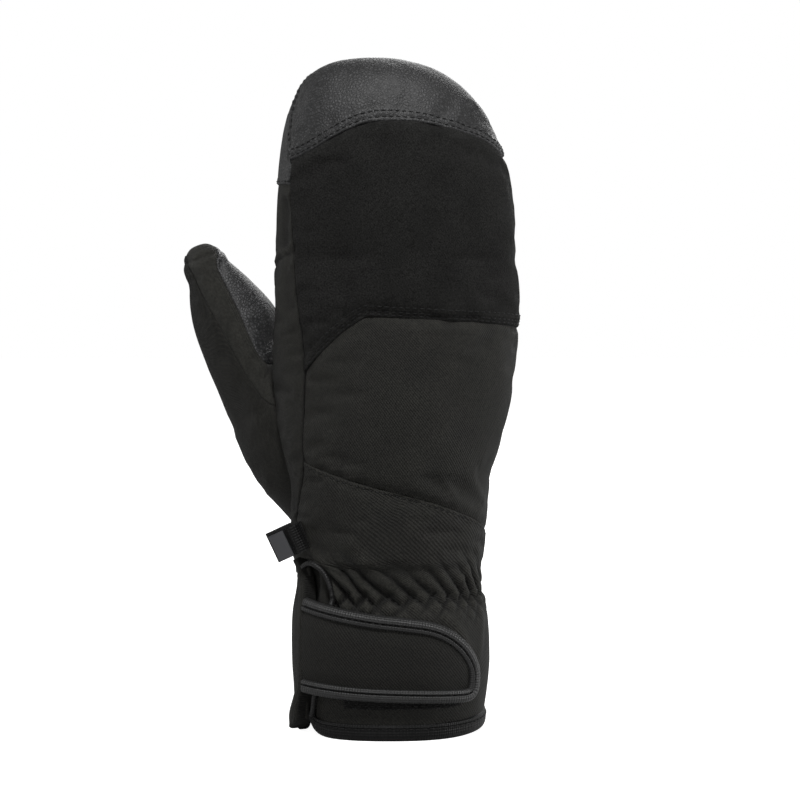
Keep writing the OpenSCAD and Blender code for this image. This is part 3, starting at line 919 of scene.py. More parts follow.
def pile(name, dark, light, scale, depth):
    """Tufted surface: fleece, padding, hooks or loops."""
    look = Look(name)
    fluff = look.noise(scale * 0.8, 3, 0.7)
    height = look.math("SUBTRACT", fluff, look.cells(scale, "F1"))
    colour = look.shade(look.ramp(height, 0, 1, -0.6, 0.6), dark, light)
    return look.finish(colour, 0.95, height, depth, specular=0.1, sheen=0.04)


def film():
    look = Look("membrane")
    crinkle = look.noise(0.2, 4, 0.6)
    return look.finish(look.shade(crinkle, 50, 80), 0.4, crinkle, 0.6)


def woven(name, pattern, dark, light, rough, depth):
    """Plain cloth whose light follows a pattern of stripes."""
    look = Look(name)
    weave = pattern(look)
    return look.finish(look.shade(look.ramp(weave, 0, 1, -1, 1), dark, light), rough, weave, depth)


def plastic(name, dark, light, rough, shine):
    look = Look(name)
    grain = look.noise(1.8, 3, 0.6)
    colour = look.shade(look.ramp(look.noise(0.25, 2), 0, 1, 0.3, 0.7), dark, light, warm=-2)
    roughness = look.ramp(grain, rough - 0.06, rough + 0.1)
    return look.finish(colour, roughness, grain, 0.03, specular=shine, cloth=False)


def thread():
    look = Look("thread")
    twist = look.noise(3.0, 2)
    return look.finish(look.shade(twist, 7, 20), 0.6, twist, 0.05, specular=0.2)


def elastic_ribs(look):
    return look.stripes(0.0, 0.8)


def label_weave(look):
    return look.math("MULTIPLY", look.stripes(1.4, 0.0), look.stripes(0.0, 1.4))


# the thumb patch's leather is a lighter, wider-ranged copy of the leather: its light end is a painted
# highlight
LEATHER, HIGHLIGHTED_THUMB_LEATHER = leather("leather", 3, 42), leather("thumb_leather", 6, 57)
KNIT, THREAD = knit(), thread()
TWILL, STRAP_CLOTH = twill("twill", 13, 34), twill("strap_twill", 10, 25)
SOFTSHELL, THUMB_CLOTH = softshell("softshell", 15, 32), softshell("thumb_cloth", 24, 42)
TAPE, EDGE_TAPE = tape("tape", 11, 26, 0.4), tape("edge_tape", 9, 22, 0.25)
HEM_TAPE = tape("hem_tape", 5, 16, 0.15)
HOOKS, LOOPS = pile("hooks", 6, 20, 1.6, 0.5), pile("loops", 8, 30, 1.1, 0.6)
FLEECE, WADDING = pile("fleece", 18, 44, 0.5, 1.0), pile("wadding", 60, 90, 0.2, 2.0)
FILM = film()
ELASTIC = woven("elastic", elastic_ribs, 24, 48, 0.8, 0.3)
LABEL = woven("label", label_weave, 205, 232, 0.7, 0.1)
PLASTIC = plastic("clip_plastic", 2, 8, 0.55, 0.2)
PLASTIC_FACE = plastic("clip_face", 36, 46, 0.42, 0.4)

# ---- followers that only bake each piece's transform into its mesh ----


def bends_at_wrist(ob):
    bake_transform(ob)


def bends_at_knuckles(ob):
    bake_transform(ob)


def bends_at_thumb(ob):
    """Bakes a thumb piece's transform into its mesh; the thumb does not bend from its base here."""
    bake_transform(ob)


# ---- hand and fingers ----


PUCKER = 7.3  # width of one pucker of the gathered wrist
PUCKER_H, PUCKER_SINK = 3.7, 2.6  # its height, and how far its valleys lie under the skin
WRIST_MM = 0.6  # millimetres along the wrist for one degree
GATHER_Z = 60.5 * K


def crease(t, z, start, end, height, width):
    """Soft fold along a line between two (angle, height) points, fading out at its ends."""
    way = np.array([(end[0] - start[0]) * WRIST_MM, (end[1] - start[1]) * K])
    x, y = (t - start[0]) * WRIST_MM, z - start[1] * K
    along = (x * way[0] + y * way[1]) / (way @ way)
    aside = (x * way[1] - y * way[0]) / length(way)
    return height * bell(aside, width) * np.sin(np.pi * np.clip(along, 0, 1)) ** 0.7


def gather(t, z):
    """Puckers over the wrist elastic: slanted folds above its stitches, peaked ones below."""
    x = (t - 90) * WRIST_MM + 1.1 * noise(t / 13, z / 11, 3)
    height = z - GATHER_Z
    falling, rising = (
        np.abs(np.sin(np.pi * (x + slant * height) / PUCKER)) ** 0.6 for slant in (0.8, -0.8)
    )
    folds = mix(np.minimum(falling, rising), falling, smooth(0.5 + (height - 1) / 3))
    reach = np.where(height > 0, 9, 7.5) * (1 + 0.3 * noise(x / 6, 1, 5))
    strength = 1 + 0.25 * noise(x / 15, height / 9, 8)
    relief = PUCKER_H * folds - PUCKER_SINK
    return strength * bell(height, reach) * relief - 0.7 * bell(height, 4)


# creases of the wrist: from (angle, height) to (angle, height), how high and how wide
WRIST_CREASES = [
    ((70, 85), (94, 63), 1.1, 2.2),
    ((30, 83), (76, 60), 1.2, 2.4),
    ((40, 74), (66, 56), 1.0, 1.4),
    ((152, 74), (132, 62), 0.9, 1.8),
    ((122, 54), (142, 34), 0.8, 2.5),
    ((160, 56), (150, 30), 0.7, 2.5),
]


def soft_folds(t, z, seed, size=0.5):
    """Slack of the shell: long shallow folds."""
    x = t * 0.8
    return size * noise(x / 22 + z / 60, z / 34 - x / 90, seed) + 0.4 * size * noise(x / 9, z / 13, seed + 1)


def hand_panel(
    name, follow, ta, tb, za, zb, material, edges, size,
    relief=None, seed=0, gap=0.15, pitch=1.1, nodes=None,
):
    """A panel of the hand or cuff, from angle ta to tb and height za to zb, in about size millimetres."""
    shape = Shape()
    u, v = even_grid(*size, pitch)
    t, z = bent_grid(ta, tb, za, zb, u, v, gap, edges)
    points = hand_surface(t, z)
    h = soft_folds(t, z, seed) if relief is None else relief(t, z)
    add_panel(shape, points, edges, relief=h, seed=seed)
    shape.build(name, [material, THREAD], follow, nodes)


def upper_panel():
    hand_panel("upper_panel", bends_at_knuckles, gusset_edge, PALM_A, chevron, cap_seam, KNIT,
               around(PLAIN, PLAIN, THREE_ROWS, UNDER), (130, 90), seed=1)


def middle_panel():
    hand_panel("middle_panel", bends_at_knuckles, gusset_edge, PALM_A, diagonal, chevron, TWILL,
               around(PLAIN, PLAIN, PLAIN, UNDER), (125, 75), seed=2)


def cuff_left(z):
    """Front edge of the back of the mitten: the slit's bound edge, its arch, then the gusset seam."""
    edge = [(0, 40), (22, 46), (45, 56), (58, 57.5)]
    arch = [(65.5, 55), (70.5, 48.5), (72.8, 40), (74.5, 31), (81, 23.5)]
    return np.where(z < 81 * K, angle_at(z, edge + arch), gusset_edge(z))


def lower_panel():
    def relief(t, z):
        creases = sum(crease(t, z, *one) for one in WRIST_CREASES)
        return gather(t, z) + creases + soft_folds(t, z, 3, 0.5)

    hand_panel("lower_panel", bends_at_wrist, cuff_left, PALM_A, HEM_H - 1, diagonal, TWILL,
               around(PLAIN, PLAIN, OPEN, ONE_ROW), (115, 95), relief, 3, pitch=0.75,
               nodes=["lower_panel", "cuff_back_panel"])


def palm_panel():
    hand_panel("palm_panel", bends_at_knuckles, PALM_A, thumb_palm, PALM_LOW, KNUCKLE_Z, LEATHER,
               around(ONE_ROW, UNDER, ONE_ROW, OPEN), (110, 84), seed=4, gap=0.0)


def finger_palm_panel():
    hand_panel("finger_palm_panel", bends_at_knuckles, PALM_A, SIDE_A + 360, KNUCKLE_Z, cap_seam, LEATHER,
               around(ONE_ROW, PLAIN, OPEN, UNDER), (110, 100), seed=4, gap=0.0)


def palm_gather():
    def relief(t, z):
        return gather(t, z) + soft_folds(t, z, 6, 0.4)

    hand_panel("palm_gather", bends_at_wrist, PALM_A, SIDE_A + 360, WRIST_Z, PALM_LOW, SOFTSHELL,
               around(PLAIN, PLAIN, OPEN, UNDER), (110, 18), relief, 6, gap=0.0, pitch=0.9)


def cuff_palm_panel():
    def relief(t, z):
        return gather(t, z) * smooth((345 - t) / 12) + soft_folds(t, z, 6, 0.5)

    def top(t):
        return WRIST_Z + 8.5 * K * smooth((t - 338) / 14)

    hand_panel("cuff_palm_panel", bends_at_wrist, PALM_A, SLIT_A + 360, HEM_H - 1, top, SOFTSHELL,
               around(PLAIN, PLAIN, OPEN, OPEN), (150, 60), relief, 6, gap=0.0, pitch=0.9)


def gusset_lower():
    hand_panel("gusset_lower", bends_at_knuckles, thumb_front, gusset_edge, PALM_LOW, KNUCKLE_Z,
               SOFTSHELL, around(UNDER, UNDER, PLAIN, OPEN), (34, 84), seed=8, gap=0.0)


def gusset_upper():
    def relief(t, z):
        above = z - 197 * K - t * 0.2
        hollow = bell(t - 27, 6) * smooth(above / 5) * smooth((230 * K - z) / 8)
        return soft_folds(t, z, 8, 0.6) - 0.9 * bell(above, 0.9) + 0.6 * bell(above - 2, 1.6) - 1.3 * hollow

    hand_panel("gusset_upper", bends_at_knuckles, SIDE_A, gusset_edge, KNUCKLE_Z, 232 * K, SOFTSHELL,
               around(PLAIN, UNDER, OPEN, UNDER), (46, 68), relief, 8, gap=0.0)


def gusset_tip():
    hand_panel("gusset_tip", "fingers", SIDE_A, gusset_edge, 232 * K, cap_seam, LEATHER,
               around(PLAIN, UNDER, ONE_ROW, UNDER), (46, 30), seed=9)


def gusset_pleat():
    def relief(t, z):
        recess = smooth((t - 22) / 5) * smooth((75 * K - z) / 3)
        return recess * (3 * bell(t - 49, 6) - 4.6) + soft_folds(t, z, 10, 0.4)

    hand_panel("gusset_pleat", bends_at_wrist, SIDE_A, 60, WRIST_Z + 3, PALM_LOW, SOFTSHELL,
               around(PLAIN, OPEN, OPEN, UNDER), (54, 14), relief, 10, pitch=0.8)


def tip_cap():
    shape = Shape()
    rows, cols = 46, 230
    t, v = np.meshgrid(np.linspace(0, 360, cols + 1), np.linspace(0, 1, rows + 1))
    low = cap_seam(t) - LAP
    near = 1 - (1 - v) ** 0.8
    z = TOTAL_H - (TOTAL_H - low) * (1 - sin_deg(90 * near) ** 1.3)
    points = hand_surface(t, np.minimum(z, TOTAL_H))
    points[-1] = points[-1].mean(axis=0)
    flat = smooth((TOTAL_H - z) / 6)
    h = soft_folds(t, z, 12, 0.35) * flat * smooth(np.minimum(t, 360 - t) / 20)
    lower = Edge(lift=0.4, margin=6.0, rows=(1.7, 4.4), pucker=0.3)
    add_panel(shape, points, {"low": lower}, relief=h, seed=0, wrap=True, pole=True)
    shape.build("tip_cap", [LEATHER, THREAD], "fingers")


# ---- thumb ----

THUMB_LAP = 0.6  # degrees its panels reach under each other at a seam


def thumb_panel(name, sa, sb, material, edges, size, seed):
    """A panel of the thumb between two seams, up to the cap of its tip, in about size millimetres."""
    shape = Shape()
    u, w = even_grid(*size, 1.0)
    v = w * TIP_V
    s = mix(as_line(sa)(v) - THUMB_LAP, as_line(sb)(v) + THUMB_LAP, u)
    points = thumb_surface(s, v)
    h = 0.4 * noise(s / 40, v * 7, seed) + 0.15 * noise(s / 16, v * 16, seed + 1)
    h = h * smooth(v * 8) * smooth((TIP_V - v) * 12)
    add_panel(shape, points, edges, relief=h, seed=seed)
    shape.build(name, [material, THREAD], bends_at_thumb)


def thumb_outer_panel():
    thumb_panel("thumb_outer_panel", UNDER_SEAM, outer_seam, SOFTSHELL,
                {"left": PLAIN, "right": UNDER, "top": OPEN}, (50, 110), 21)


def thumb_leather_patch():
    thumb_panel("thumb_leather_patch", patch_seam, INNER_SEAM, HIGHLIGHTED_THUMB_LEATHER,
                {"left": PLAIN, "right": PLAIN, "top": OPEN}, (34, 80), 22)


def thumb_palm_panel():
    thumb_panel("thumb_palm_panel", INNER_SEAM, UNDER_SEAM + 360, LEATHER,
                {"left": ONE_ROW, "right": ONE_ROW, "top": OPEN}, (50, 100), 23)


def thumb_strip():
    """The strip between the seams, with the cap that closes the tip."""
    shape = Shape()
    u, w = even_grid(20, 100, 1.0)
    v = w * (TIP_V + 0.004)
    s = mix(outer_seam(v) - THUMB_LAP, patch_seam(v) + THUMB_LAP, u)
    points = thumb_surface(s, v)
    add_panel(shape, points, {"left": PLAIN, "right": UNDER}, seed=24)
    s, v = np.meshgrid(np.linspace(0, 360, 91), np.linspace(TIP_V, 1, 16))
    points = thumb_surface(s, v)
    points[-1] = points[-1].mean(axis=0)
    sunk = -0.5 * (1 - smooth((v - TIP_V) / (0.7 * (1 - TIP_V))))
    add_panel(shape, points, {"low": OPEN}, relief=sunk, seed=24, wrap=True, pole=True)
    shape.build("thumb_strip", [THUMB_CLOTH, THREAD], bends_at_thumb)


# ---- tapes and bindings ----


def sweep(shape, line, normals, width, height, foot=0.3, groove=0.25, seam_at=0.25, ribs=0.0):
    """A folded tape along a polyline: a soft half-round section with a stitched groove."""
    line, normals = np.asarray(line), np.asarray(normals)
    way = np.gradient(line, axis=0)
    way /= np.maximum(length(way)[:, None], 1e-9)
    normals = normals - way * np.sum(way * normals, axis=1)[:, None]
    normals /= length(normals)[:, None]
    side = np.cross(way, normals)
    q = np.linspace(-1, 1, 25)
    across = np.broadcast_to(width, len(line))[:, None] / 2 * q
    top = (1 - np.abs(q) ** 3.2) ** 0.5 - groove * bell(q - seam_at, 0.13)
    run = run_along(line)
    wave = 1 + ribs * np.sin(2 * np.pi * run / 1.5)
    outer = (
        line[:, None]
        + side[:, None] * across[..., None]
        + normals[:, None] * (height * top[None, :, None] * wave[:, None, None])
    )
    down = normals * np.broadcast_to(foot, len(line))[:, None]
    inner = line[:, None] + side[:, None] * across[..., None] - down[:, None]
    uv = np.stack(np.broadcast_arrays(across, run[:, None]), axis=-1)
    # rows run along the tape and its columns go across it
    outer, inner, uv = outer.transpose(1, 0, 2), inner.transpose(1, 0, 2), uv.transpose(1, 0, 2)
    # painted light and shade: the tape's raised crown is painted lighter and its flanks darker
    painted_light = np.clip(0.45 + 0.75 * top, 0.4, 1.2)[:, None] * np.ones(len(line))
    add_sheet(shape, outer[::-1], inner[::-1], uv[::-1], painted_light=painted_light[::-1])
    return side


def through(stations, count):
    """Evenly numbered points of a smooth curve through some stations."""
    return curve(list(enumerate(stations)), np.linspace(0, len(stations) - 1, count))


def path_on(surface, a, b):
    """Polyline and outward normals along arrays of surface coordinates."""
    line = surface(a, b)
    da, db = 0.5, 0.3
    across = surface(a + da, b) - surface(a - da, b)
    up = surface(a, b + db) - surface(a, b - db)
    n = np.cross(across, up)
    return line, n / length(n)[:, None]


HEM_START = 37.5  # the hem stops on both sides of the slit
HEM_END = 360 + SLIT_A - 12
HEM_STITCHES = HEM_H * 0.74


def hem_binding():
    """Tape folded round the hem, thicker than the rest, from one edge of the slit to the other."""
    shape = Shape()
    t = np.linspace(HEM_START, HEM_END, 260)
    # its section: depth under the skin, and height as a share of the hem's
    outside = [(0.6, 1.06), (-0.8, 0.92), (-1.2, 0.55), (-1.1, 0.22), (-0.3, 0.02)]
    section = outside + [(1.5, 0), (3.2, 0.03), (4.4, 0.2), (4.8, 0.5), (4.4, 0.85), (3.0, 1.05)]
    across, up = through(section, 44).T
    tt, off = np.meshgrid(t, across)
    zz = np.repeat((np.maximum(up, 0) * HEM_H)[:, None], len(t), axis=1)
    ripple = 0.08 * np.sin(2 * np.pi * tt / 2.1 + 0.8 * noise(tt / 9, zz / 3)) * bell(zz - 0.5 * HEM_H, 2.6)
    groove = 0.3 * bell(zz - HEM_STITCHES, 0.5)
    points = skin(tt, zz, off + (ripple + groove) * (off < 0))
    uv = np.stack([zz, tt * 0.7], axis=-1)
    rows, cols = zz.shape
    low, high = np.arange(cols), np.arange(cols) + (rows - 1) * cols
    faces = [grid_faces(rows, cols)[:, ::-1], np.stack([low[:-1], low[1:], high[1:], high[:-1]], axis=-1)]
    for first, turn in ((0, 1), (cols - 1, -1)):
        ring = first + cols * np.arange(rows)
        half = rows // 2
        near, far = ring[:half], ring[::-1][:half]
        faces.append(np.stack([near[:-1], near[1:], far[1:], far[:-1]], axis=-1)[:, ::turn])
    shape.add(points, np.concatenate(faces), 0, uv)
    line, n = path_on(lambda a, b: skin(a, b, -1.05), t, np.full_like(t, HEM_STITCHES))
    add_stitches(shape, line, n)
    shape.build("hem_binding", [HEM_TAPE, THREAD], "cuff")


def cuff_path(stations, count):
    """Angles, heights, points and normals on the cuff along a path through (angle, height) stations."""
    t, height = through(stations, count).T
    return t, height, *path_on(hand_surface, t, height * K)


def edge_binding():
    """Bound edge of the back of the cuff, up over the arch of the slit to the thumb side."""
    edge = [(41, HEM_H / K), (46, 22), (56, 45), (57.5, 58)]
    arch = [(55, 65.5), (48.5, 71), (40, 73.2), (32, 72), (26, 69), (22, 66)]
    t, height, line, n = cuff_path(edge + arch, 150)
    lift = 0.6 + gather(t, height * K) * 0.4
    shape = Shape()
    sweep(shape, line + n * lift[:, None], n, 2.1, 1.3, groove=0.12)
    shape.build("edge_binding", [EDGE_TAPE], bends_at_wrist, ["cuff_edge_binding", "arch_binding"])


def slit_binding():
    """Facing of the palm side's front edge: it stands out over the strap's sewn end."""
    stations = [(22, 74), (29, 66), (34.5, 55), (35.5, 40), (34.5, 25), (28, 12), (22.5, 1.5)]
    t, height, line, n = cuff_path(stations, 110)
    out = 0.6 + 1.6 * smooth((70 - height) / 12) + 1.2 * smooth((22 - height) / 14)
    width = 4.2 + 1.8 * smooth((14 - height) / 8) - 3 * smooth((6 - height) / 4)
    shape = Shape()
    sweep(shape, line + n * out[:, None], n, width, 1.8, foot=out + 3, groove=0.12, seam_at=-0.5)
    shape.build("slit_binding", [SOFTSHELL, THREAD], bends_at_wrist)


def cuff_gusset():
    """Bellows inside the slit, with one fold that bulges out of it."""
    shape = Shape()
    u, v = even_grid(30, 66, 0.8)
    t = mix(SLIT_A - 9, 62, u)
    z = mix(HEM_H - 1, WRIST_Z + 8, v)
    bulge = 4.8 * bell(t - 48 - 1.2 * noise(z / 16, 0, 7), 9.5)
    points = skin(t, z, 5.2 - bulge * (1 - 0.5 * smooth((z - 68 * K) / 8)))
    add_panel(shape, points, {}, seed=30)
    shape.build("cuff_gusset", [SOFTSHELL, THREAD], bends_at_wrist)


# ---- strap ----

STRAP_A = 38.5  # its sewn end
STRAP_END_A = 143.5  # its tip
STRAP_LOW = 19 * K
STRAP_H = 40
STRAP_ROOT = 6  # degrees that its backing reaches under the slit's facing
BINDING_W = 6
STRAP_SEAM = 0.25  # where the binding's stitches run across its width, from -1 to 1
STRAP_DROP = (12, 4)  # fall of its upper and lower edge from the sewn end to the tip
STRAP_ROUND = (29, 7)  # height of the tip's rounding above and below
STRAP_ROUND_A = (104, 133)  # where each rounding starts


def strap_turn(t, i):
    """How far the rounding of the tip takes the upper (i = 0) or lower edge in."""
    r = np.clip((t - STRAP_ROUND_A[i]) / (STRAP_END_A - STRAP_ROUND_A[i]), 0, 1)
    return STRAP_ROUND[i] * (1 - np.sqrt(1 - r * r))


def strap_fall(t, i):
    return STRAP_DROP[i] * (t - STRAP_A) / (STRAP_END_A - STRAP_A)


def strap_top(t):
    return STRAP_LOW + STRAP_H - strap_fall(t, 0) - strap_turn(t, 0)


def strap_bottom(t):
    return STRAP_LOW - strap_fall(t, 1) + strap_turn(t, 1)


def strap_grid(inset, u, v):
    """Angles and heights over the strap, inset from its edges."""
    t = mix(STRAP_A, STRAP_END_A - 1.4 * inset, u)
    low = strap_bottom(t) + inset
    return t, mix(low, np.maximum(low + 0.5, strap_top(t) - inset), v)


def strap_outline(inset, steps=300):
    """Path along the strap's top edge, round its tip and back along the bottom, inset."""
    over = np.sin(np.linspace(0, np.pi / 2, steps // 2))
    there = mix(STRAP_A, STRAP_END_A - 1.4 * inset, over)
    t = np.concatenate([there, there[::-1]])
    z = np.concatenate([strap_top(there) - inset, strap_bottom(there[::-1]) + inset])
    run = np.concatenate([[0], np.cumsum(np.hypot(np.diff(t) * 0.7, np.diff(z)))])
    even = np.linspace(0, run[-1], steps)
    path = np.stack([np.interp(even, run, line) for line in (t, z)], axis=-1)
    for _ in range(40):
        path[1:-1] = (path[:-2] + 2 * path[1:-1] + path[2:]) / 4
    return path


def strap_face():
    shape = Shape()
    u, v = even_grid(76, 34, 0.8)
    t, z = strap_grid(BINDING_W - 1.2, u, v)
    points = skin(t, z, -3.2)
    d = distances(points)
    middle = np.minimum(d["right"], np.minimum(d["low"], d["top"]))
    h = 0.6 * smooth(middle / 7) + 0.3 * noise(t / 16, z / 20, 40)
    add_panel(shape, points, {}, relief=h, seed=41)
    shape.build("strap_face", [STRAP_CLOTH, THREAD], "strap")


def bends_at_strap(ob):
    """Bakes the strap backing's transform into its mesh; the strap does not peel from its sewn end here."""
    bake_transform(ob)


def strap_backing():
    u, v = even_grid(82, 34, 1.2)
    t, z = strap_grid(2, u, v)
    t = t - STRAP_ROOT * (1 - u) ** 6
    off = -1.9 + 1.2 * smooth((STRAP_A - t) / STRAP_ROOT)
    uv = cloth_uv(skin(t, z, -2))
    sheet_piece("strap_backing", skin(t, z, off - 0.5), skin(t, z, off), uv, STRAP_CLOTH, bends_at_strap)


def strap_binding():
    shape = Shape()
    t, z = strap_outline(BINDING_W / 2).T
    line, n = path_on(lambda a, b: skin(a, b, -2.8), t, z)
    side = sweep(shape, line, n, BINDING_W, 2.0, groove=0.5, seam_at=STRAP_SEAM, ribs=0.015)
    add_stitches(shape, line + side * (STRAP_SEAM * BINDING_W / 2) + n * 1.15, n)
    shape.build("strap_binding", [TAPE, THREAD], "strap")


def hook_patch():
    u, v = even_grid(24, 22, 1.0)
    t = mix(106, STRAP_END_A - 12, u)
    z = mix(strap_bottom(t) + 9, strap_top(t) - 9, v)
    sheet_piece("hook_patch", skin(t, z, -1.8), skin(t, z, -1.1), cloth_uv(skin(t, z)), HOOKS, "strap")


def loop_patch():
    shape = Shape()
    u, v = even_grid(48, 24, 0.7)
    t, z = mix(66, 134, u), mix(13.5 * K, 38 * K, v)
    border = Edge(tuck=0.4, rows=(1.6,))
    add_panel(shape, skin(t, z, -1.1), around(border, border, border, border), thickness=0.8)
    shape.build("loop_patch", [LOOPS, THREAD], "cuff")


# ---- inside layers ----


SHELL = 1.7  # depth of the shell, where the layers start
# name, material, the height it starts at, depths of its two sides in the hand, and in the thumb
LAYERS = [
    ("padding", WADDING, HEM_H, (2.8, 6.8), (2.8, 5.8)),
    ("lining", FLEECE, HEM_H - 2, (7.5, 8.7), (6.5, 7.7)),
    ("membrane", FILM, PALM_LOW, (SHELL, 2.1), (SHELL, 2.1)),
]
CUFF_CUT = 100 * K  # the cuff's own layers end here


def tube_piece(name, layers, material, follow, close):
    """A closed sheet round the hand or thumb; close brings its last row to one point."""
    if close:
        for layer in layers:
            layer[-1] = layer[-1].mean(axis=0)
    sheet_piece(name, *layers, cloth_uv(layers[0], True), material, follow, True, close)


def inside_tube(name, za, zb, depths, material, follow):
    """A layer inside the shell, round the hand; at the fingertips it is closed."""
    rows = max(8, int((zb - za) / 4))
    t, v = np.meshgrid(np.linspace(0, 360, 73), np.linspace(0, 1, rows))
    close = zb == TOTAL_H
    z = mix(za, zb, sin_deg(90 * v)) if close else mix(za, zb, v)
    thin = mix(0.4, 1, smooth(z / (30 * K))) if za < WRIST_Z / 2 else 1
    ripple = 0.3 * noise(t / 20, z / 15, 50) * smooth(np.minimum(t, 360 - t) / 20)
    # room for the slit's gusset, and for the puckers
    pocket = smooth((t - 12) / 10) * smooth((84 - t) / 10) * (1 - smooth((z - 72 * K) / (15 * K)))
    ripple = ripple + 4.8 * pocket + 2.8 * bell(z - GATHER_Z, 11)
    layers = [skin(t, z, SHELL + (off - SHELL) * thin + ripple) for off in depths]
    tube_piece(name, layers, material, follow, close)


def thumb_tube(name, depths, material):
    s, v = np.meshgrid(np.linspace(0, 360, 49), np.linspace(0.12, 1, 24))
    tube_piece(name, [thumb_skin(s, v, off) for off in depths], material, bends_at_thumb, True)


def inside_layers():
    for kind, material, start, depths, thumb_depths in LAYERS:
        in_cuff = start < WRIST_Z
        cut = CUFF_CUT if in_cuff else start
        if in_cuff:
            inside_tube(f"cuff_{kind}", start, cut, depths, material, bends_at_wrist)
        inside_tube(f"hand_{kind}", cut, KNUCKLE_Z, depths, material, bends_at_knuckles)
        inside_tube(f"finger_{kind}", KNUCKLE_Z, TOTAL_H, depths, material, bends_at_knuckles)
        thumb_tube(f"thumb_{kind}", thumb_depths, material)
    inside_tube("wrist_elastic", WRIST_Z + 1, WRIST_Z + 9, (2.2, 2.7), ELASTIC, bends_at_wrist)


def size_label():
    """A blank woven label, sewn to the lining by its upper end."""
    u, v = even_grid(20, 22, 1.5)
    t, z = mix(255, 285, u), mix(34 * K, 56 * K, v)
    hang = 9.1 + 1.2 * (1 - v)
    uv = cloth_uv(skin(t, z))
    sheet_piece("size_label", skin(t, z, hang), skin(t, z, hang + 0.3), uv, LABEL, "cuff")


# ---- clip ----


def moulded(node, material, width):
    """A CAD plastic part, shown with rounded edges and its own finish."""
    ob = frame["nodes"][node]
    ob.data.materials.clear()
    ob.data.materials.append(material)
    bevel = ob.modifiers.new("bevel", "BEVEL")
    bevel.width = width * MM
    bevel.segments = 3
    bevel.limit_method = "ANGLE"


LOOP_TILT = math.radians(-25)  # the clip's bar leans this much from upright
WEBBING_W = 11.5
BAR_R = 2.3  # radius of the webbing's turn round the bar


def clip_loop():
    """Webbing folded round the clip's bar, both its ends sewn into the gusset's seam."""
    along = np.array([math.sin(LOOP_TILT), 0, math.cos(LOOP_TILT)])
    out = np.array([math.cos(LOOP_TILT), 0, -math.sin(LOOP_TILT)])
    front = np.array([0, -1.0, 0])
    joint = next(j for j in frame["record"]["behaviour"]["joints"] if j["name"] == "clip_swing")
    bar = np.array(joint["pos_m"]) / MM - 0.2 * along
    turn = [(BAR_R * math.cos(a), BAR_R * math.sin(a)) for a in np.radians(np.linspace(90, 270, 15))]
    # distances from the bar outwards and to the front
    path = [(4.2, -6.5), (4, -2.6), (3, 0.6), (1.6, 1.8)] + turn + [(1.6, -1.8), (2.4, -3.4), (3, -6.5)]
    path = through(path, 60)
    line = bar + path[:, :1] * out + path[:, 1:] * front
    n = np.cross(np.gradient(line, axis=0), along)
    n /= length(n)[:, None]
    q = np.linspace(-0.5, 0.5, 17)
    rib = 0.05 * np.abs(np.sin(np.pi * 5 * q))
    base = line[:, None] + along * (q * WEBBING_W)[None, :, None]
    half = 0.5
    outer = base + n[:, None] * (half + rib)[None, :, None]
    sheet_piece("clip_loop", outer, base - n[:, None] * half, cloth_uv(base), HEM_TAPE, "hand")


def clip():
    clip_loop()
    moulded("clip_frame", PLASTIC, 0.35)
    moulded("clip_plate", PLASTIC_FACE, 0.3)


# ---- studio ----


WHITE = (1, 1, 1, 1)
GLOW = 0.95  # the camera sees the floor this much whiter, so that it stays even
DAYLIGHT = 0.22  # light from all round
# name, place, power, width
LAMPS = [
    ("key", (0.1, -0.75, 1.4), 27, 0.3),
    ("front", (-0.5, -1.4, 0.3), 7, 0.8),
    ("right_rim", (1.1, 0.1, 0.15), 10, 0.6),
    ("left_rim", (-1.1, 0.35, 0.6), 4, 0.6),
    ("back", (0.3, 1.2, 0.9), 14, 0.8),
]


def point_at(ob, place, aim):
    ob.location = place
    ob.rotation_euler = (aim - place).to_track_quat("-Z", "Y").to_euler()


def world():
    """Even light from all round, seen by the camera as plain white."""
    made = bpy.data.worlds.new("studio")
    made.use_nodes = True
    bpy.context.scene.world = made
    tree = made.node_tree
    path = tree.nodes.new("ShaderNodeLightPath")
    strength = tree.nodes.new("ShaderNodeMapRange")
    strength.inputs["To Min"].default_value = DAYLIGHT
    tree.links.new(path.outputs["Is Camera Ray"], strength.inputs["Value"])
    background = tree.nodes["Background"]
    background.inputs["Color"].default_value = WHITE
    tree.links.new(strength.outputs["Result"], background.inputs["Strength"])


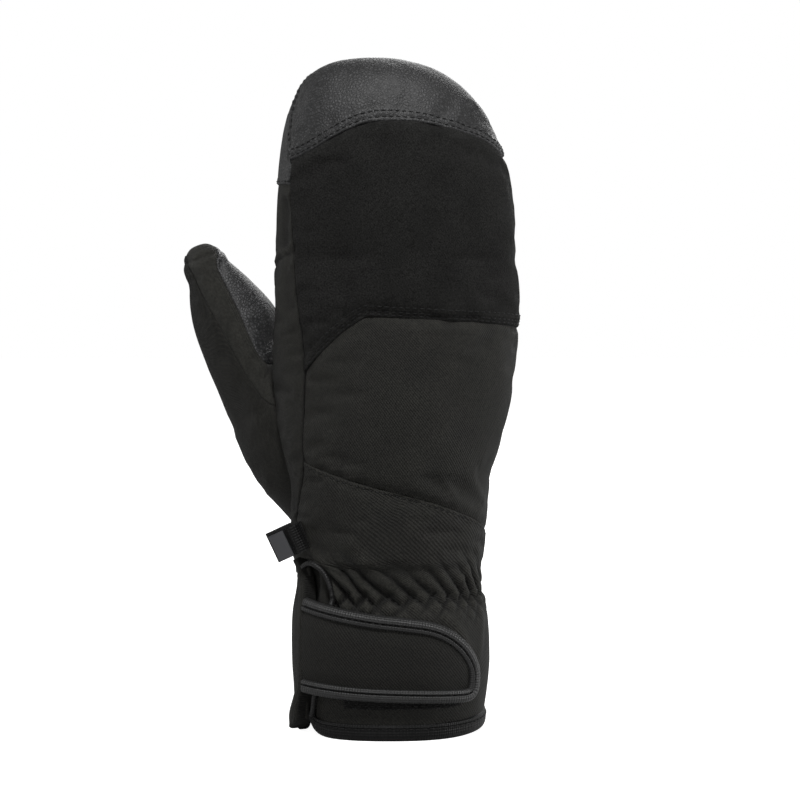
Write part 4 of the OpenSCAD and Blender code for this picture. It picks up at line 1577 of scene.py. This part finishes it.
def studio():
    world()
    floor = Look("floor")
    pale = floor.shade(floor.noise(0.01), 168, 176)
    floor.finish(pale, 0.9, 0.0, 0.0, specular=0.1, cloth=False)
    seen = floor.node("ShaderNodeLightPath").outputs["Is Camera Ray"]
    floor.link(WHITE, floor.shader.inputs["Emission Color"])
    floor.link(floor.ramp(seen, 0, GLOW), floor.shader.inputs["Emission Strength"])
    size = 3.0
    mesh = bpy.data.meshes.new("floor")
    corners = [(-size, -size, 0), (size, -size, 0), (size, size, 0), (-size, size, 0)]
    mesh.from_pydata(corners, [], [(0, 1, 2, 3)])
    mesh.materials.append(floor.material)
    new_object("floor", mesh)
    aim = Vector((0, 0, 0.5 * TOTAL_H * MM))
    for name, place, power, width in LAMPS:
        lamp = bpy.data.lights.new(name, "AREA")
        lamp.energy = power
        lamp.size = width
        light = new_object(name, lamp)
        point_at(light, Vector(place), aim)


CAMERA_FAR = 1.0
CAMERA_RISE = math.radians(4)
VIEW_H = 1.197  # height of the view, in mittens
VIEW_MIDDLE = 0.492  # its middle, in mittens above the hem
VIEW_SIDE = 0.15  # and to the right of the mitten's middle, in body widths
SENSOR = 36


def camera():
    """The photo's view: straight onto the back of the hand, a little from above."""
    middle = (size_before[0][0] + size_before[1][0]) / 2
    aim = Vector((middle + VIEW_SIDE * BODY_WIDTH * MM, 0, VIEW_MIDDLE * TOTAL_H * MM))
    data = bpy.data.cameras.new("camera")
    data.sensor_width = SENSOR
    data.lens = SENSOR * CAMERA_FAR / (VIEW_H * TOTAL_H * MM)
    ob = new_object("camera", data)
    point_at(ob, aim + Vector((0, -math.cos(CAMERA_RISE), math.sin(CAMERA_RISE))) * CAMERA_FAR, aim)
    bpy.context.scene.camera = ob
    bpy.context.scene.view_settings.view_transform = "Standard"


def build():
    for make in (
        upper_panel, middle_panel, lower_panel, palm_panel, finger_palm_panel, palm_gather, cuff_palm_panel,
        gusset_lower, gusset_upper, gusset_tip, gusset_pleat, tip_cap,
        thumb_outer_panel, thumb_leather_patch, thumb_palm_panel, thumb_strip,
        hem_binding, edge_binding, slit_binding, cuff_gusset,
        strap_face, strap_backing, strap_binding, hook_patch, loop_patch,
        inside_layers, size_label, clip,
    ):
        make()


build()
camera()
studio()
